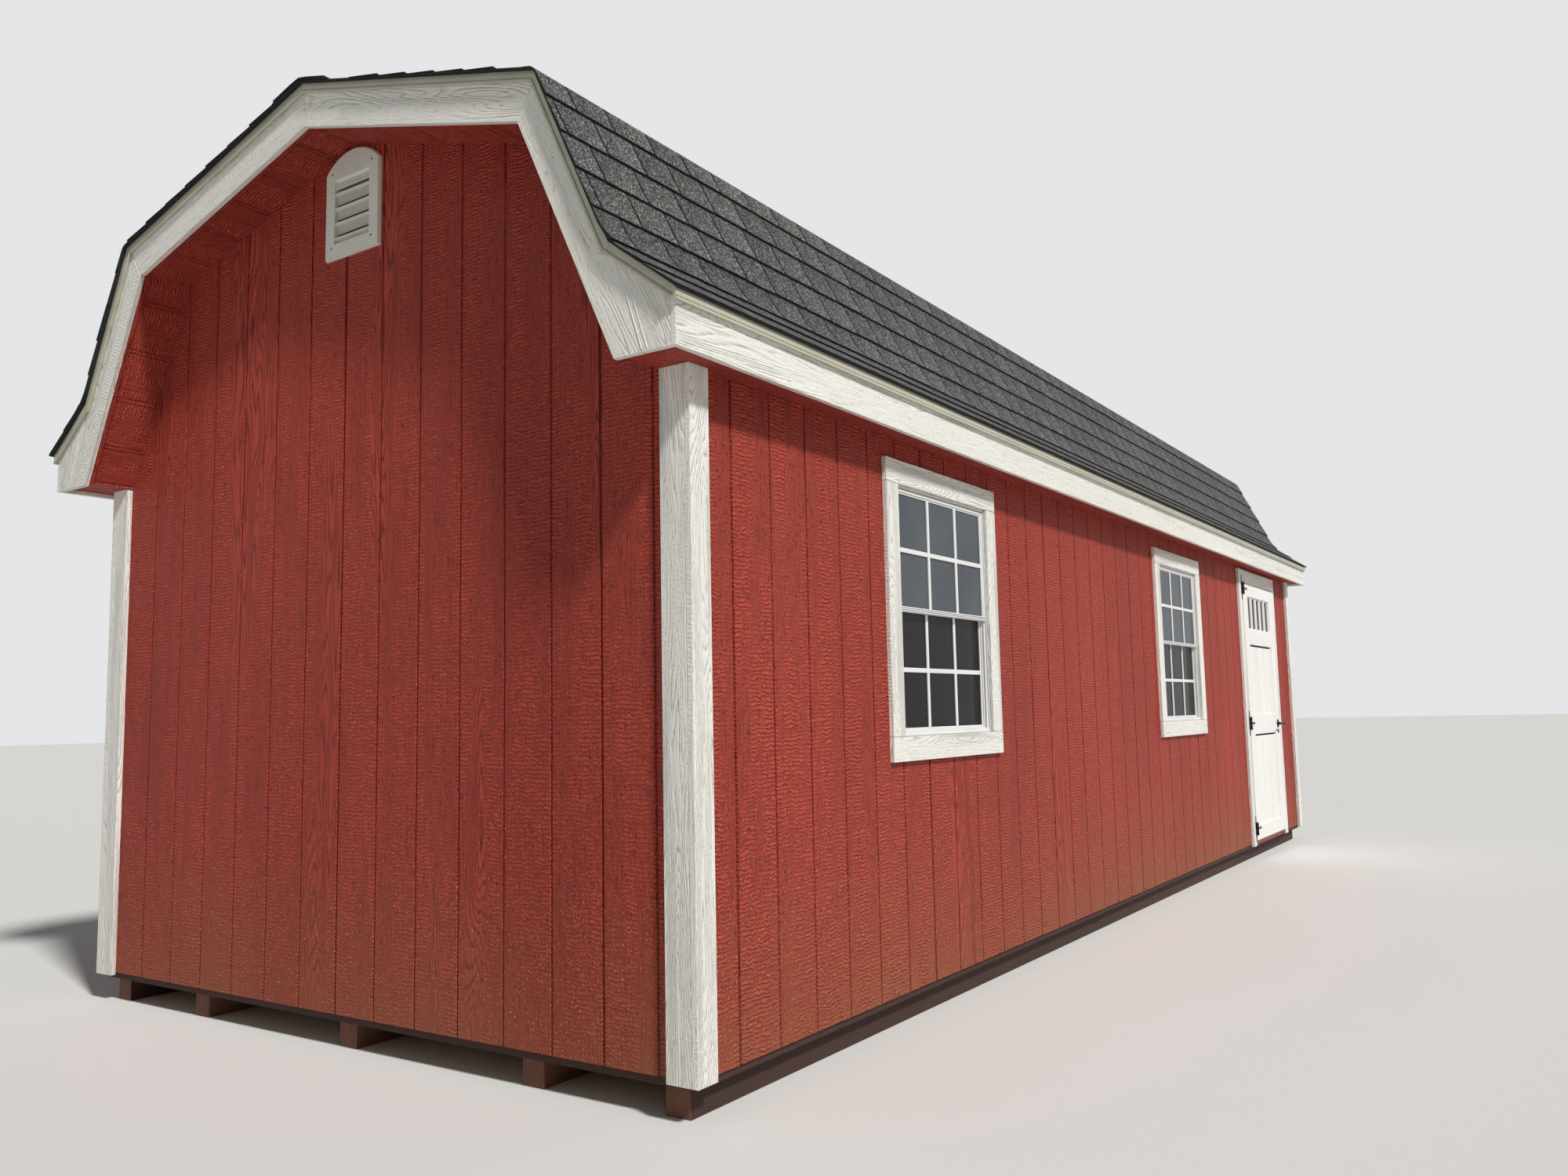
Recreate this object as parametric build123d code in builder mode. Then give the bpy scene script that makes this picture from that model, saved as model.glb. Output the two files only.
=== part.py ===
from build123d import *
from math import atan2, cos, radians, sin, tan
import os

# Frame: +Z up, the ground at z = 0, the gable that shows at -Y, the door wall at +X.
# All sizes are in millimetres.

# Body
BODY_WIDTH = 3048
BODY_LENGTH = 7925
WALL_TOP = 2095
SIDING_THICK = 16
SIDING_LAP = 13
SEAM = 0.3

# Skids and floor
SKID_SIZE = 89
SKID_SETBACK = 36
INNER_SKID_INSET = 648
OUTER_SKID_INSET = 94
PLANK_THICK = 38

# Framing timber
STUD_DEPTH = 89
STUD_THICK = 38
STUD_SPACING = 609.6
PLATE_COUNT = 2
STUD_CLEARANCE = 20

# Roof deck, from the wall's top and outer face up to the ridge
EAVE_OVERHANG = 122
GABLE_OVERHANG = 203
KICK_INSET = 107
KICK_RISE = 310
KICK_PITCH = 37
KNUCKLE_INSET = 386
STEEP_RISE = 591
UPPER_RISE = 324
DECK_THICK = 12
SHINGLE_THICK = 10
RIDGE_CAP_THICK = 6
RIDGE_CAP_REACH = 150

# Roof trim
FASCIA_THICK = 19
UPPER_RAKE_WIDTH = 148
STEEP_RAKE_WIDTH = 136
SOFFIT_THICK = 10
SOFFIT_RECESS = 15
DRIP_HEIGHT = 34
DRIP_STANDOFF = 14
RAKE_SHINGLE_OVERHANG = 16
EAVE_SHINGLE_OVERHANG = 10

# Corner boards
CORNER_THICK = 22
CORNER_WIDTH = 89
CORNER_DROP = 10

# Windows
TRIM_THICK = 19
TRIM_WIDTH = 89
WINDOW_WIDTH = 762
WINDOW_HEIGHT = 915
WINDOW_DROP = 177
MEETING_DROP = 454
NEAR_WINDOW_SETBACK = 1586
WINDOW_SPACING = 3185
FRAME_FACE = 10
FRAME_DEPTH = 76
FRAME_PROUD = 6
SASH_FACE = 18
SASH_DEPTH = 18
SASH_SETBACK = 3
GLASS_THICK = 4

# Service door
DOOR_SETBACK = 1073
DOORWAY_WIDTH = 945
DOORWAY_DROP = 129
HEAD_CASING_WIDTH = 96
CASING_DROP = 15
DOOR_GAP = 6
LEAF_THICK = 32
LEAF_PROUD = 3
STILE_WIDTH = 127
BOTTOM_RAIL_WIDTH = 96
LOWER_PANEL_HEIGHT = 643
LOCK_RAIL_WIDTH = 144
LITE_RAIL_WIDTH = 110
LITE_HEIGHT = 240
TOP_RAIL_WIDTH = 87
PANEL_THICK = 16
PANEL_RECESS = 10
LITE_RECESS = 20
JAMB_THICK = 19
JAMB_OVERLAP = 18
THRESHOLD_THICK = 3
THRESHOLD_REACH = 60
SILL_HEIGHT = 24
SILL_PROUD = 16

# Door hinges
LOW_HINGE_RISE = 81
MIDDLE_HINGE_RISE = 820
TOP_HINGE_DROP = 34
HINGE_PLATE_HEIGHT = 84
HINGE_PLATE_WIDTH = 30
HINGE_PLATE_THICK = 3
HINGE_FINIAL_REACH = 48
HINGE_FINIAL_WIDTH = 8
STRAP_LENGTH = 120
STRAP_WIDTH = 22
BARREL_RADIUS = 6
BARREL_COUNT = 3
BARREL_GAP = 0.5
BARREL_STANDOFF = 1
PIN_RADIUS = 3
PIN_CLEARANCE = 0.3
WEB_WIDTH = 9

# Door handle
HANDLE_RISE = 65
HANDLE_INSET = 60
ROSE_RADIUS = 32
ROSE_THICK = 8
SPINDLE_RADIUS = 6
SPINDLE_CLEARANCE = 2
NECK_RADIUS = 11
NECK_LENGTH = 34
NECK_CLEARANCE = 0.5
LEVER_LENGTH = 112
LEVER_HEIGHT = 20
LEVER_THICK = 13
LOCK_RADIUS = 14
LOCK_DROP = 58
LOCK_PROUD = 6

# Gable vents, hung from the ridge
VENT_WIDTH = 300
VENT_HEIGHT = 392
VENT_RISE = 66
VENT_DROP = 162
VENT_OFFSET = 12
VENT_THICK = 15
VENT_SIDE = 52
VENT_FOOT = 54
VENT_HEAD = 93
SLAT_COUNT = 4
SLAT_PITCH = 56
SLAT_THICK = 4
SLAT_DEPTH = 40
SLAT_TILT = 40

# Vehicle door in the far gable
VEHICLE_MARGIN = 305
VEHICLE_HEIGHT = 1981
VEHICLE_SECTIONS = 4
VEHICLE_THICK = 44
VEHICLE_SETBACK = 40
HEADER_HEIGHT = 184

# Places worked out from the sizes
half_width = BODY_WIDTH / 2
half_length = BODY_LENGTH / 2
wall_back = half_width - SIDING_THICK
gable_back = half_length - SIDING_THICK
stud_back = wall_back - STUD_DEPTH
gable_stud_back = gable_back - STUD_DEPTH
floor_top = SKID_SIZE + PLANK_THICK
siding_bottom = floor_top - SIDING_LAP
plate_top = floor_top + STUD_THICK
stud_top = WALL_TOP - PLATE_COUNT * STUD_THICK
soffit_bottom = WALL_TOP - SOFFIT_THICK
fascia_bottom = soffit_bottom - SOFFIT_RECESS
kick_x = half_width - KICK_INSET
kick_height = WALL_TOP + KICK_RISE
knuckle_x = half_width - KNUCKLE_INSET
knuckle_height = kick_height + STEEP_RISE
ridge_height = knuckle_height + UPPER_RISE
eave_x = half_width + EAVE_OVERHANG
rake_face = half_length + GABLE_OVERHANG
rake_back = rake_face - FASCIA_THICK
drip_end = rake_face + DRIP_STANDOFF
shingle_end = drip_end + RAKE_SHINGLE_OVERHANG
fascia_back = eave_x - FASCIA_THICK
drip_x = eave_x + DRIP_STANDOFF
shingle_x = drip_x + EAVE_SHINGLE_OVERHANG
rafter_depth = DECK_THICK + STUD_DEPTH
trim_face = half_width + TRIM_THICK
window_top = WALL_TOP - WINDOW_DROP
window_bottom = window_top - WINDOW_HEIGHT
near_window = NEAR_WINDOW_SETBACK - half_length
window_rows = (near_window, near_window + WINDOW_SPACING)
door_y = half_length - DOOR_SETBACK
doorway_top = WALL_TOP - DOORWAY_DROP
vehicle_half = half_width - VEHICLE_MARGIN
vehicle_top = floor_top + VEHICLE_HEIGHT
sides = (1, -1)
ends = (-1, 1)


def slope_between(start_x, start_z, end_x, end_z):
    """A roof slope: where its deck top starts, and how steeply it falls outwards."""
    return start_x, start_z, atan2(start_z - end_z, end_x - start_x)


UPPER = slope_between(0, ridge_height, knuckle_x, knuckle_height)
STEEP = slope_between(knuckle_x, knuckle_height, kick_x, kick_height)
KICK = (kick_x, kick_height, radians(KICK_PITCH))


def height_at(slope, x, depth):
    """Height over x of the line that lies this deep under a slope's deck top."""
    start_x, start_z, pitch = slope
    return start_z - depth / cos(pitch) - (x - start_x) * tan(pitch)


def reach_at(slope, z, depth):
    """Distance from the centre line at which that line comes down to a height."""
    start_x, start_z, pitch = slope
    return start_x + (start_z - depth / cos(pitch) - z) / tan(pitch)


def corner_at(upper, upper_depth, lower, lower_depth):
    """Distance from the centre line at which two such lines cross."""
    rise = height_at(lower, 0, lower_depth) - height_at(upper, 0, upper_depth)
    return rise / (tan(lower[2]) - tan(upper[2]))


def band(slope, top, bottom, start_top, start_bottom, end_top, end_bottom):
    """Four corners of a board that lies along a slope between two depths."""
    return [
        (start_top, height_at(slope, start_top, top)),
        (end_top, height_at(slope, end_top, top)),
        (end_bottom, height_at(slope, end_bottom, bottom)),
        (start_bottom, height_at(slope, start_bottom, bottom)),
    ]


def upper_band(top, bottom, steep_bottom):
    """Board along the upper slope, from the ridge to the mitre at the knuckle."""
    end_top = corner_at(UPPER, top, STEEP, top) - SEAM
    end_bottom = corner_at(UPPER, bottom, STEEP, steep_bottom) - SEAM
    return band(UPPER, top, bottom, SEAM, SEAM, end_top, end_bottom)


def steep_band(top, bottom, upper_bottom):
    """Board along the steep slope, from the knuckle to the kick."""
    start_top = corner_at(UPPER, top, STEEP, top)
    start_bottom = corner_at(UPPER, upper_bottom, STEEP, bottom)
    end_top = corner_at(STEEP, top, KICK, top) - SEAM
    end_bottom = corner_at(STEEP, bottom, KICK, bottom) - SEAM
    return band(STEEP, top, bottom, start_top, start_bottom, end_top, end_bottom)


def kick_band(top, bottom, end_x):
    """Board along the kick, from the steep slope out to the eave."""
    start_top = corner_at(STEEP, top, KICK, top)
    start_bottom = corner_at(STEEP, bottom, KICK, bottom)
    return band(KICK, top, bottom, start_top, start_bottom, end_x, end_x)


def footed_band(top, bottom, upper_bottom, foot_z):
    """Board along the steep slope that goes on down to a level foot."""
    start_top = corner_at(UPPER, top, STEEP, top)
    start_bottom = corner_at(UPPER, upper_bottom, STEEP, bottom)
    end_top = reach_at(STEEP, foot_z, top)
    end_bottom = reach_at(STEEP, foot_z, bottom)
    return band(STEEP, top, bottom, start_top, start_bottom, end_top, end_bottom)


def prism(points, side, y_start, y_end):
    """Cross-section on one side of the centre line, drawn out along the building."""
    with BuildSketch(Plane.XZ.offset(-y_start)) as section:
        with BuildLine():
            Polyline(*[(side * x, z) for x, z in points], close=True)
        make_face()
    extrude(section.sketch, amount=y_start - y_end)


def block(x_start, x_end, y_start, y_end, z_start, z_end):
    """Upright box between two corners."""
    with Locations(((x_start + x_end) / 2, (y_start + y_end) / 2, (z_start + z_end) / 2)):
        Box(abs(x_end - x_start), abs(y_end - y_start), abs(z_end - z_start))


def cut_block(x_start, x_end, y_start, y_end, z_start, z_end):
    """Upright box between two corners, taken away."""
    with Locations(((x_start + x_end) / 2, (y_start + y_end) / 2, (z_start + z_end) / 2)):
        Box(
            abs(x_end - x_start),
            abs(y_end - y_start),
            abs(z_end - z_start),
            mode=Mode.SUBTRACT,
        )


def rod(x_start, x_end, y, z, radius, mode=Mode.ADD):
    """Round bar that runs along X."""
    with Locations(Location(((x_start + x_end) / 2, y, z), (0, 90, 0))):
        Cylinder(radius, abs(x_end - x_start), mode=mode)


def upright(x, y, z_start, z_end, radius, mode=Mode.ADD):
    """Round bar that stands along Z."""
    with Locations((x, y, (z_start + z_end) / 2)):
        Cylinder(radius, z_end - z_start, mode=mode)


# Skids and floor
inner_skid = half_width - INNER_SKID_INSET
outer_skid = half_width - OUTER_SKID_INSET

with BuildPart() as skids:
    for skid_x in (-outer_skid, -inner_skid, 0, inner_skid, outer_skid):
        skid_reach = half_length - SKID_SETBACK
        block(
            skid_x - SKID_SIZE / 2, skid_x + SKID_SIZE / 2, -skid_reach, skid_reach, 0, SKID_SIZE
        )

with BuildPart() as floor_planks:
    block(-wall_back, wall_back, -gable_back, gable_back, SKID_SIZE, floor_top)

# Doorway edges
doorway_near = door_y - DOORWAY_WIDTH / 2
doorway_far = door_y + DOORWAY_WIDTH / 2
jamb_near = doorway_near + JAMB_OVERLAP
jamb_far = doorway_far - JAMB_OVERLAP
jamb_head = doorway_top - JAMB_OVERLAP
rough_near = jamb_near - JAMB_THICK
rough_far = jamb_far + JAMB_THICK
rough_head = jamb_head + JAMB_THICK

# Siding of the long walls
with BuildPart() as left_wall_siding:
    block(-half_width, -wall_back, -gable_back, gable_back, siding_bottom, WALL_TOP)
    for window_y in window_rows:
        cut_block(
            -half_width,
            -wall_back,
            window_y - WINDOW_WIDTH / 2,
            window_y + WINDOW_WIDTH / 2,
            window_bottom,
            window_top,
        )

with BuildPart() as right_wall_siding:
    block(wall_back, half_width, -gable_back, doorway_near, siding_bottom, WALL_TOP)
    for window_y in window_rows:
        cut_block(
            wall_back,
            half_width,
            window_y - WINDOW_WIDTH / 2,
            window_y + WINDOW_WIDTH / 2,
            window_bottom,
            window_top,
        )

with BuildPart() as right_wall_end_siding:
    block(wall_back, half_width, doorway_far, gable_back, siding_bottom, WALL_TOP)

with BuildPart() as siding_over_door:
    block(wall_back, half_width, doorway_near, doorway_far, doorway_top, WALL_TOP)

# Siding of the gables, up to the underside of the roof deck
knuckle_under = corner_at(UPPER, DECK_THICK, STEEP, DECK_THICK)
kick_under = corner_at(STEEP, DECK_THICK, KICK, DECK_THICK)
gable_line = [
    (knuckle_under, height_at(UPPER, knuckle_under, DECK_THICK)),
    (kick_under, height_at(STEEP, kick_under, DECK_THICK)),
    (half_width, height_at(KICK, half_width, DECK_THICK)),
]
gable_peak = (0, height_at(UPPER, 0, DECK_THICK))
vent_half = VENT_WIDTH / 2
throat_half = vent_half - VENT_SIDE
vent_crown = ridge_height - VENT_DROP
vent_spring = vent_crown - VENT_RISE
vent_bottom = vent_crown - VENT_HEIGHT
throat_bottom = vent_bottom + VENT_FOOT
throat_top = vent_crown - VENT_HEAD
slat_rise = SLAT_DEPTH / 2 * sin(radians(SLAT_TILT))


def gable_outline(foot_z):
    """Whole gable from a level foot up to the roof."""
    right = gable_line + [(half_width, foot_z)]
    left = [(-x, z) for x, z in reversed(right)]
    return [gable_peak] + right + left


with BuildPart() as near_gable_siding:
    prism(gable_outline(siding_bottom), 1, -half_length, -gable_back)
    cut_block(
        VENT_OFFSET - throat_half,
        VENT_OFFSET + throat_half,
        -half_length,
        -gable_back,
        throat_bottom,
        throat_top,
    )

with BuildPart() as far_gable_siding:
    prism(gable_outline(siding_bottom), 1, gable_back, half_length)
    cut_block(-vehicle_half, vehicle_half, gable_back, half_length, siding_bottom, vehicle_top)
    cut_block(
        -VENT_OFFSET - throat_half,
        -VENT_OFFSET + throat_half,
        gable_back,
        half_length,
        throat_bottom,
        throat_top,
    )

# Corner boards: the one on the long wall laps the edge of the one on the gable
corner_bottom = siding_bottom - CORNER_DROP

with BuildPart() as corner_boards:
    for side in sides:
        for end in ends:
            corner_face = half_length + CORNER_THICK
            block(
                side * half_width,
                side * (half_width + CORNER_THICK),
                end * corner_face,
                end * (corner_face - CORNER_WIDTH),
                corner_bottom,
                soffit_bottom,
            )
            block(
                side * (half_width - SEAM),
                side * (half_width - CORNER_WIDTH),
                end * half_length,
                end * corner_face,
                corner_bottom,
                soffit_bottom,
            )

# Framing of the long walls
window_edges = [
    (window_y - WINDOW_WIDTH / 2, window_y + WINDOW_WIDTH / 2) for window_y in window_rows
]
door_edges = [(rough_near, rough_far)]


def stud(side, y_start, z_start, z_end):
    """Stud of a long wall."""
    block(side * stud_back, side * wall_back, y_start, y_start + STUD_THICK, z_start, z_end)


def clear_of(y_start, openings):
    """True where a common stud keeps clear of the openings and the studs beside them."""
    reach = STUD_THICK + STUD_CLEARANCE
    return all(
        y_start + STUD_THICK < near - reach or y_start > far + reach for near, far in openings
    )


stud_rows = [
    k * STUD_SPACING - STUD_THICK / 2
    for k in range(-int(gable_stud_back // STUD_SPACING), int(gable_stud_back // STUD_SPACING) + 1)
]

with BuildPart() as wall_studs:
    for side in sides:
        wall_openings = window_edges + door_edges if side > 0 else window_edges
        for near, far in wall_openings:
            stud(side, near - STUD_THICK, plate_top, stud_top)
            stud(side, far, plate_top, stud_top)
        for row in stud_rows:
            if clear_of(row, wall_openings):
                stud(side, row, plate_top, stud_top)
        for end in ends:
            corner_start = end * gable_back - (STUD_THICK if end > 0 else 0)
            stud(side, corner_start, plate_top, stud_top)
        for near, far in window_edges:
            middle = (near + far - STUD_THICK) / 2
            stud(side, middle, plate_top, window_bottom - STUD_THICK)

with BuildPart() as wall_plates:
    for side in sides:
        block(side * stud_back, side * wall_back, -gable_back, gable_back, stud_top, WALL_TOP)
    block(-stud_back, -wall_back, -gable_back, gable_back, floor_top, plate_top)
    block(stud_back, wall_back, -gable_back, rough_near, floor_top, plate_top)
    block(stud_back, wall_back, rough_far, gable_back, floor_top, plate_top)
    gable_plate_end = stud_back - SEAM
    block(-gable_plate_end, gable_plate_end, -gable_back, -gable_stud_back, floor_top, plate_top)
    for side in sides:
        block(
            side * vehicle_half,
            side * gable_plate_end,
            gable_stud_back,
            gable_back,
            floor_top,
            plate_top,
        )

with BuildPart() as wall_headers:
    for side in sides:
        for near, far in window_edges:
            block(side * stud_back, side * wall_back, near, far, window_top, stud_top)
            sill_under = window_bottom - STUD_THICK
            block(side * stud_back, side * wall_back, near, far, sill_under, window_bottom)
    block(stud_back, wall_back, rough_near, rough_far, rough_head, stud_top)
    block(
        -vehicle_half,
        vehicle_half,
        gable_stud_back,
        gable_back,
        vehicle_top,
        vehicle_top + HEADER_HEIGHT,
    )

# Framing of the gables
gable_rows = [(k + 0.5) * STUD_SPACING for k in range(int(stud_back // STUD_SPACING))]


def gable_stud(side, x_start, x_end, end, z_start):
    """Gable stud whose top is cut to the slope of the rafter over it."""
    knuckle_inside = corner_at(UPPER, rafter_depth, STEEP, rafter_depth)
    slope = UPPER if x_end < knuckle_inside else STEEP
    profile = [
        (x_start, z_start),
        (x_end, z_start),
        (x_end, height_at(slope, x_end, rafter_depth)),
        (x_start, height_at(slope, x_start, rafter_depth)),
    ]
    y_edges = sorted((end * gable_back, end * gable_stud_back))
    prism(profile, side, *y_edges)


with BuildPart() as gable_studs:
    for side in sides:
        for row in gable_rows:
            gable_stud(side, row - STUD_THICK / 2, row + STUD_THICK / 2, -1, plate_top)
            header_top = vehicle_top + HEADER_HEIGHT
            gable_stud(side, row - STUD_THICK / 2, row + STUD_THICK / 2, 1, header_top)
        gable_stud(side, vehicle_half, vehicle_half + STUD_THICK, 1, plate_top)

# Rafters, in pairs over the studs
rafter_rows = [
    -gable_back,
    *[row for row in stud_rows if abs(row) < gable_stud_back],
    gable_back - STUD_THICK,
]

with BuildPart() as rafters:
    for row in rafter_rows:
        for side in sides:
            prism(upper_band(DECK_THICK, rafter_depth, rafter_depth), side, row, row + STUD_THICK)
            prism(
                footed_band(DECK_THICK, rafter_depth, rafter_depth, WALL_TOP),
                side,
                row,
                row + STUD_THICK,
            )

# Roof deck and shingles
with BuildPart() as roof_deck:
    for side in sides:
        prism(upper_band(0, DECK_THICK, DECK_THICK), side, -rake_back, rake_back)
        prism(steep_band(0, DECK_THICK, DECK_THICK), side, -rake_back, rake_back)
        prism(kick_band(0, DECK_THICK, eave_x), side, -rake_back, rake_back)

with BuildPart() as roof_shingles:
    for side in sides:
        prism(upper_band(-SHINGLE_THICK, 0, 0), side, -shingle_end, shingle_end)
        prism(steep_band(-SHINGLE_THICK, 0, 0), side, -shingle_end, shingle_end)
        prism(kick_band(-SHINGLE_THICK, 0, shingle_x), side, -shingle_end, shingle_end)

cap_top = -SHINGLE_THICK - RIDGE_CAP_THICK
with BuildPart() as ridge_cap:
    for side in sides:
        cap = band(
            UPPER, cap_top, -SHINGLE_THICK, 0, 0, RIDGE_CAP_REACH, RIDGE_CAP_REACH
        )
        prism(cap, side, -shingle_end, shingle_end)

# Drip edges under the shingles, along the rakes and the eaves
with BuildPart() as drip_edges:
    for side in sides:
        for end in ends:
            y_edges = sorted((end * rake_face, end * drip_end))
            prism(upper_band(0, DRIP_HEIGHT, DRIP_HEIGHT), side, *y_edges)
            prism(steep_band(0, DRIP_HEIGHT, DRIP_HEIGHT), side, *y_edges)
            prism(kick_band(0, DRIP_HEIGHT, eave_x - SEAM), side, *y_edges)
        drip_foot = height_at(KICK, drip_x, 0) - DRIP_HEIGHT
        eave_drip = [
            (eave_x, drip_foot),
            (drip_x, drip_foot),
            (drip_x, height_at(KICK, drip_x, 0)),
            (eave_x, height_at(KICK, eave_x, 0)),
        ]
        prism(eave_drip, side, -drip_end, drip_end)

# Rake boards, with a filler under each kick
steep_foot = reach_at(STEEP, fascia_bottom, 0) + SEAM
kick_corner = corner_at(STEEP, 0, KICK, 0) + SEAM
filler = [
    (kick_corner, height_at(KICK, kick_corner, 0)),
    (steep_foot, fascia_bottom),
    (fascia_back, fascia_bottom),
    (fascia_back, height_at(KICK, fascia_back, 0)),
]

with BuildPart() as rake_boards:
    for side in sides:
        for end in ends:
            y_edges = sorted((end * rake_back, end * rake_face))
            prism(upper_band(0, UPPER_RAKE_WIDTH, STEEP_RAKE_WIDTH), side, *y_edges)
            prism(
                footed_band(0, STEEP_RAKE_WIDTH, UPPER_RAKE_WIDTH, fascia_bottom), side, *y_edges
            )
            prism(filler, side, *y_edges)

with BuildPart() as eave_fascias:
    fascia_top = height_at(KICK, eave_x, DECK_THICK)
    for side in sides:
        block(
            side * fascia_back, side * eave_x, -rake_face, rake_face, fascia_bottom, fascia_top
        )

# Soffits
with BuildPart() as eave_soffits:
    for side in sides:
        block(
            side * half_width, side * fascia_back, -rake_back, rake_back, soffit_bottom, WALL_TOP
        )

upper_soffit_bottom = UPPER_RAKE_WIDTH - SOFFIT_RECESS
steep_soffit_bottom = STEEP_RAKE_WIDTH - SOFFIT_RECESS
upper_soffit_top = upper_soffit_bottom - SOFFIT_THICK
steep_soffit_top = steep_soffit_bottom - SOFFIT_THICK
soffit_mitre_top = corner_at(UPPER, upper_soffit_top, STEEP, steep_soffit_top)
soffit_mitre_bottom = corner_at(UPPER, upper_soffit_bottom, STEEP, steep_soffit_bottom)
soffit_foot = WALL_TOP + SEAM
upper_soffit = band(
    UPPER,
    upper_soffit_top,
    upper_soffit_bottom,
    SEAM,
    SEAM,
    soffit_mitre_top - SEAM,
    soffit_mitre_bottom - SEAM,
)
steep_soffit = band(
    STEEP,
    steep_soffit_top,
    steep_soffit_bottom,
    soffit_mitre_top,
    soffit_mitre_bottom,
    reach_at(STEEP, soffit_foot, steep_soffit_top),
    reach_at(STEEP, soffit_foot, steep_soffit_bottom),
)
return_start = reach_at(STEEP, WALL_TOP, steep_soffit_bottom)

with BuildPart() as gable_soffits:
    for side in sides:
        for end in ends:
            y_edges = sorted((end * half_length, end * rake_back))
            prism(upper_soffit, side, *y_edges)
            prism(steep_soffit, side, *y_edges)
            block(
                side * return_start, side * half_width, *y_edges, soffit_bottom, WALL_TOP
            )

# Windows
trim_side = WINDOW_WIDTH / 2 + TRIM_WIDTH
frame_front = half_width + FRAME_PROUD
frame_back = frame_front - FRAME_DEPTH
upper_sash_front = frame_front - SASH_SETBACK
lower_sash_front = upper_sash_front - SASH_DEPTH - SEAM
sash_half = WINDOW_WIDTH / 2 - FRAME_FACE - SEAM
sash_low = window_bottom + FRAME_FACE + SEAM
sash_high = window_top - FRAME_FACE - SEAM
meeting_height = window_top - MEETING_DROP
meeting_low = meeting_height - SASH_FACE / 2
meeting_high = meeting_height + SASH_FACE / 2


def ring(side, front, back, y, half, z_start, z_end, face):
    """Rectangular frame in a long wall, drawn in the plane of its front."""
    block(side * front, side * back, y - half, y + half, z_start, z_end)
    inner = half - face
    cut_block(side * front, side * back, y - inner, y + inner, z_start + face, z_end - face)


with BuildPart() as window_trim:
    for side in sides:
        for window_y in window_rows:
            low, high = window_y - trim_side, window_y + trim_side
            face = (side * half_width, side * trim_face)
            block(*face, low, high, window_top + SEAM, window_top + TRIM_WIDTH)
            block(*face, low, high, window_bottom - TRIM_WIDTH, window_bottom - SEAM)
            block(*face, low, low + TRIM_WIDTH, window_bottom, window_top)
            block(*face, high - TRIM_WIDTH, high, window_bottom, window_top)

with BuildPart() as window_frames:
    for side in sides:
        for window_y in window_rows:
            ring(
                side,
                frame_front,
                frame_back,
                window_y,
                WINDOW_WIDTH / 2,
                window_bottom,
                window_top,
                FRAME_FACE,
            )

with BuildPart() as upper_sashes:
    for side in sides:
        for window_y in window_rows:
            back = upper_sash_front - SASH_DEPTH
            ring(
                side, upper_sash_front, back, window_y, sash_half, meeting_low, sash_high, SASH_FACE
            )

with BuildPart() as lower_sashes:
    for side in sides:
        for window_y in window_rows:
            back = lower_sash_front - SASH_DEPTH
            ring(
                side, lower_sash_front, back, window_y, sash_half, sash_low, meeting_high, SASH_FACE
            )


def pane(side, front, y, z_start, z_end):
    """Sheet of glass in the middle of a sash's depth."""
    middle = front - SASH_DEPTH / 2
    half = sash_half - SASH_FACE
    block(
        side * (middle - GLASS_THICK / 2),
        side * (middle + GLASS_THICK / 2),
        y - half,
        y + half,
        z_start + SASH_FACE,
        z_end - SASH_FACE,
    )


with BuildPart() as window_glass:
    for side in sides:
        for window_y in window_rows:
            pane(side, upper_sash_front, window_y, meeting_low, sash_high)
            pane(side, lower_sash_front, window_y, sash_low, meeting_high)

# Gable vents
def vent_board(end, centre_x):
    """Arch-topped board with a square throat, on the face of a gable."""
    plane_y = end * half_length
    with BuildSketch(Plane.XZ.offset(-plane_y)) as board:
        with BuildLine():
            Polyline(
                (centre_x - vent_half, vent_spring),
                (centre_x - vent_half, vent_bottom),
                (centre_x + vent_half, vent_bottom),
                (centre_x + vent_half, vent_spring),
            )
            ThreePointArc(
                (centre_x + vent_half, vent_spring),
                (centre_x, vent_crown),
                (centre_x - vent_half, vent_spring),
            )
        make_face()
        with Locations((centre_x, (throat_bottom + throat_top) / 2)):
            Rectangle(2 * throat_half, throat_top - throat_bottom, mode=Mode.SUBTRACT)
    extrude(board.sketch, amount=-end * VENT_THICK)


with BuildPart() as gable_vents:
    for end in ends:
        vent_board(end, -end * VENT_OFFSET)

with BuildPart() as vent_slats:
    for end in ends:
        for k in range(SLAT_COUNT):
            slat_z = throat_top - (k + 1) * SLAT_PITCH + slat_rise
            slat_y = end * (half_length - SIDING_THICK / 2)
            place = Location((-end * VENT_OFFSET, slat_y, slat_z), (-end * SLAT_TILT, 0, 0))
            with Locations(place):
                Box(2 * throat_half, SLAT_DEPTH, SLAT_THICK)

# Service doorway
casing_bottom = siding_bottom - CASING_DROP
casing_near = doorway_near - TRIM_WIDTH
casing_far = doorway_far + TRIM_WIDTH

with BuildPart() as door_casing:
    for low in (casing_near, doorway_far):
        block(
            half_width, trim_face, low, low + TRIM_WIDTH, casing_bottom, doorway_top - SEAM
        )
    head_top = doorway_top + HEAD_CASING_WIDTH
    block(half_width, trim_face, casing_near, casing_far, doorway_top, head_top)

with BuildPart() as door_jamb:
    for low in (rough_near, jamb_far):
        block(stud_back, wall_back, low, low + JAMB_THICK, floor_top, jamb_head - SEAM)
    block(stud_back, wall_back, rough_near, rough_far, jamb_head, rough_head)

with BuildPart() as door_sill:
    block(
        wall_back,
        half_width + SILL_PROUD,
        doorway_near,
        doorway_far,
        floor_top - SILL_HEIGHT,
        floor_top,
    )

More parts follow.
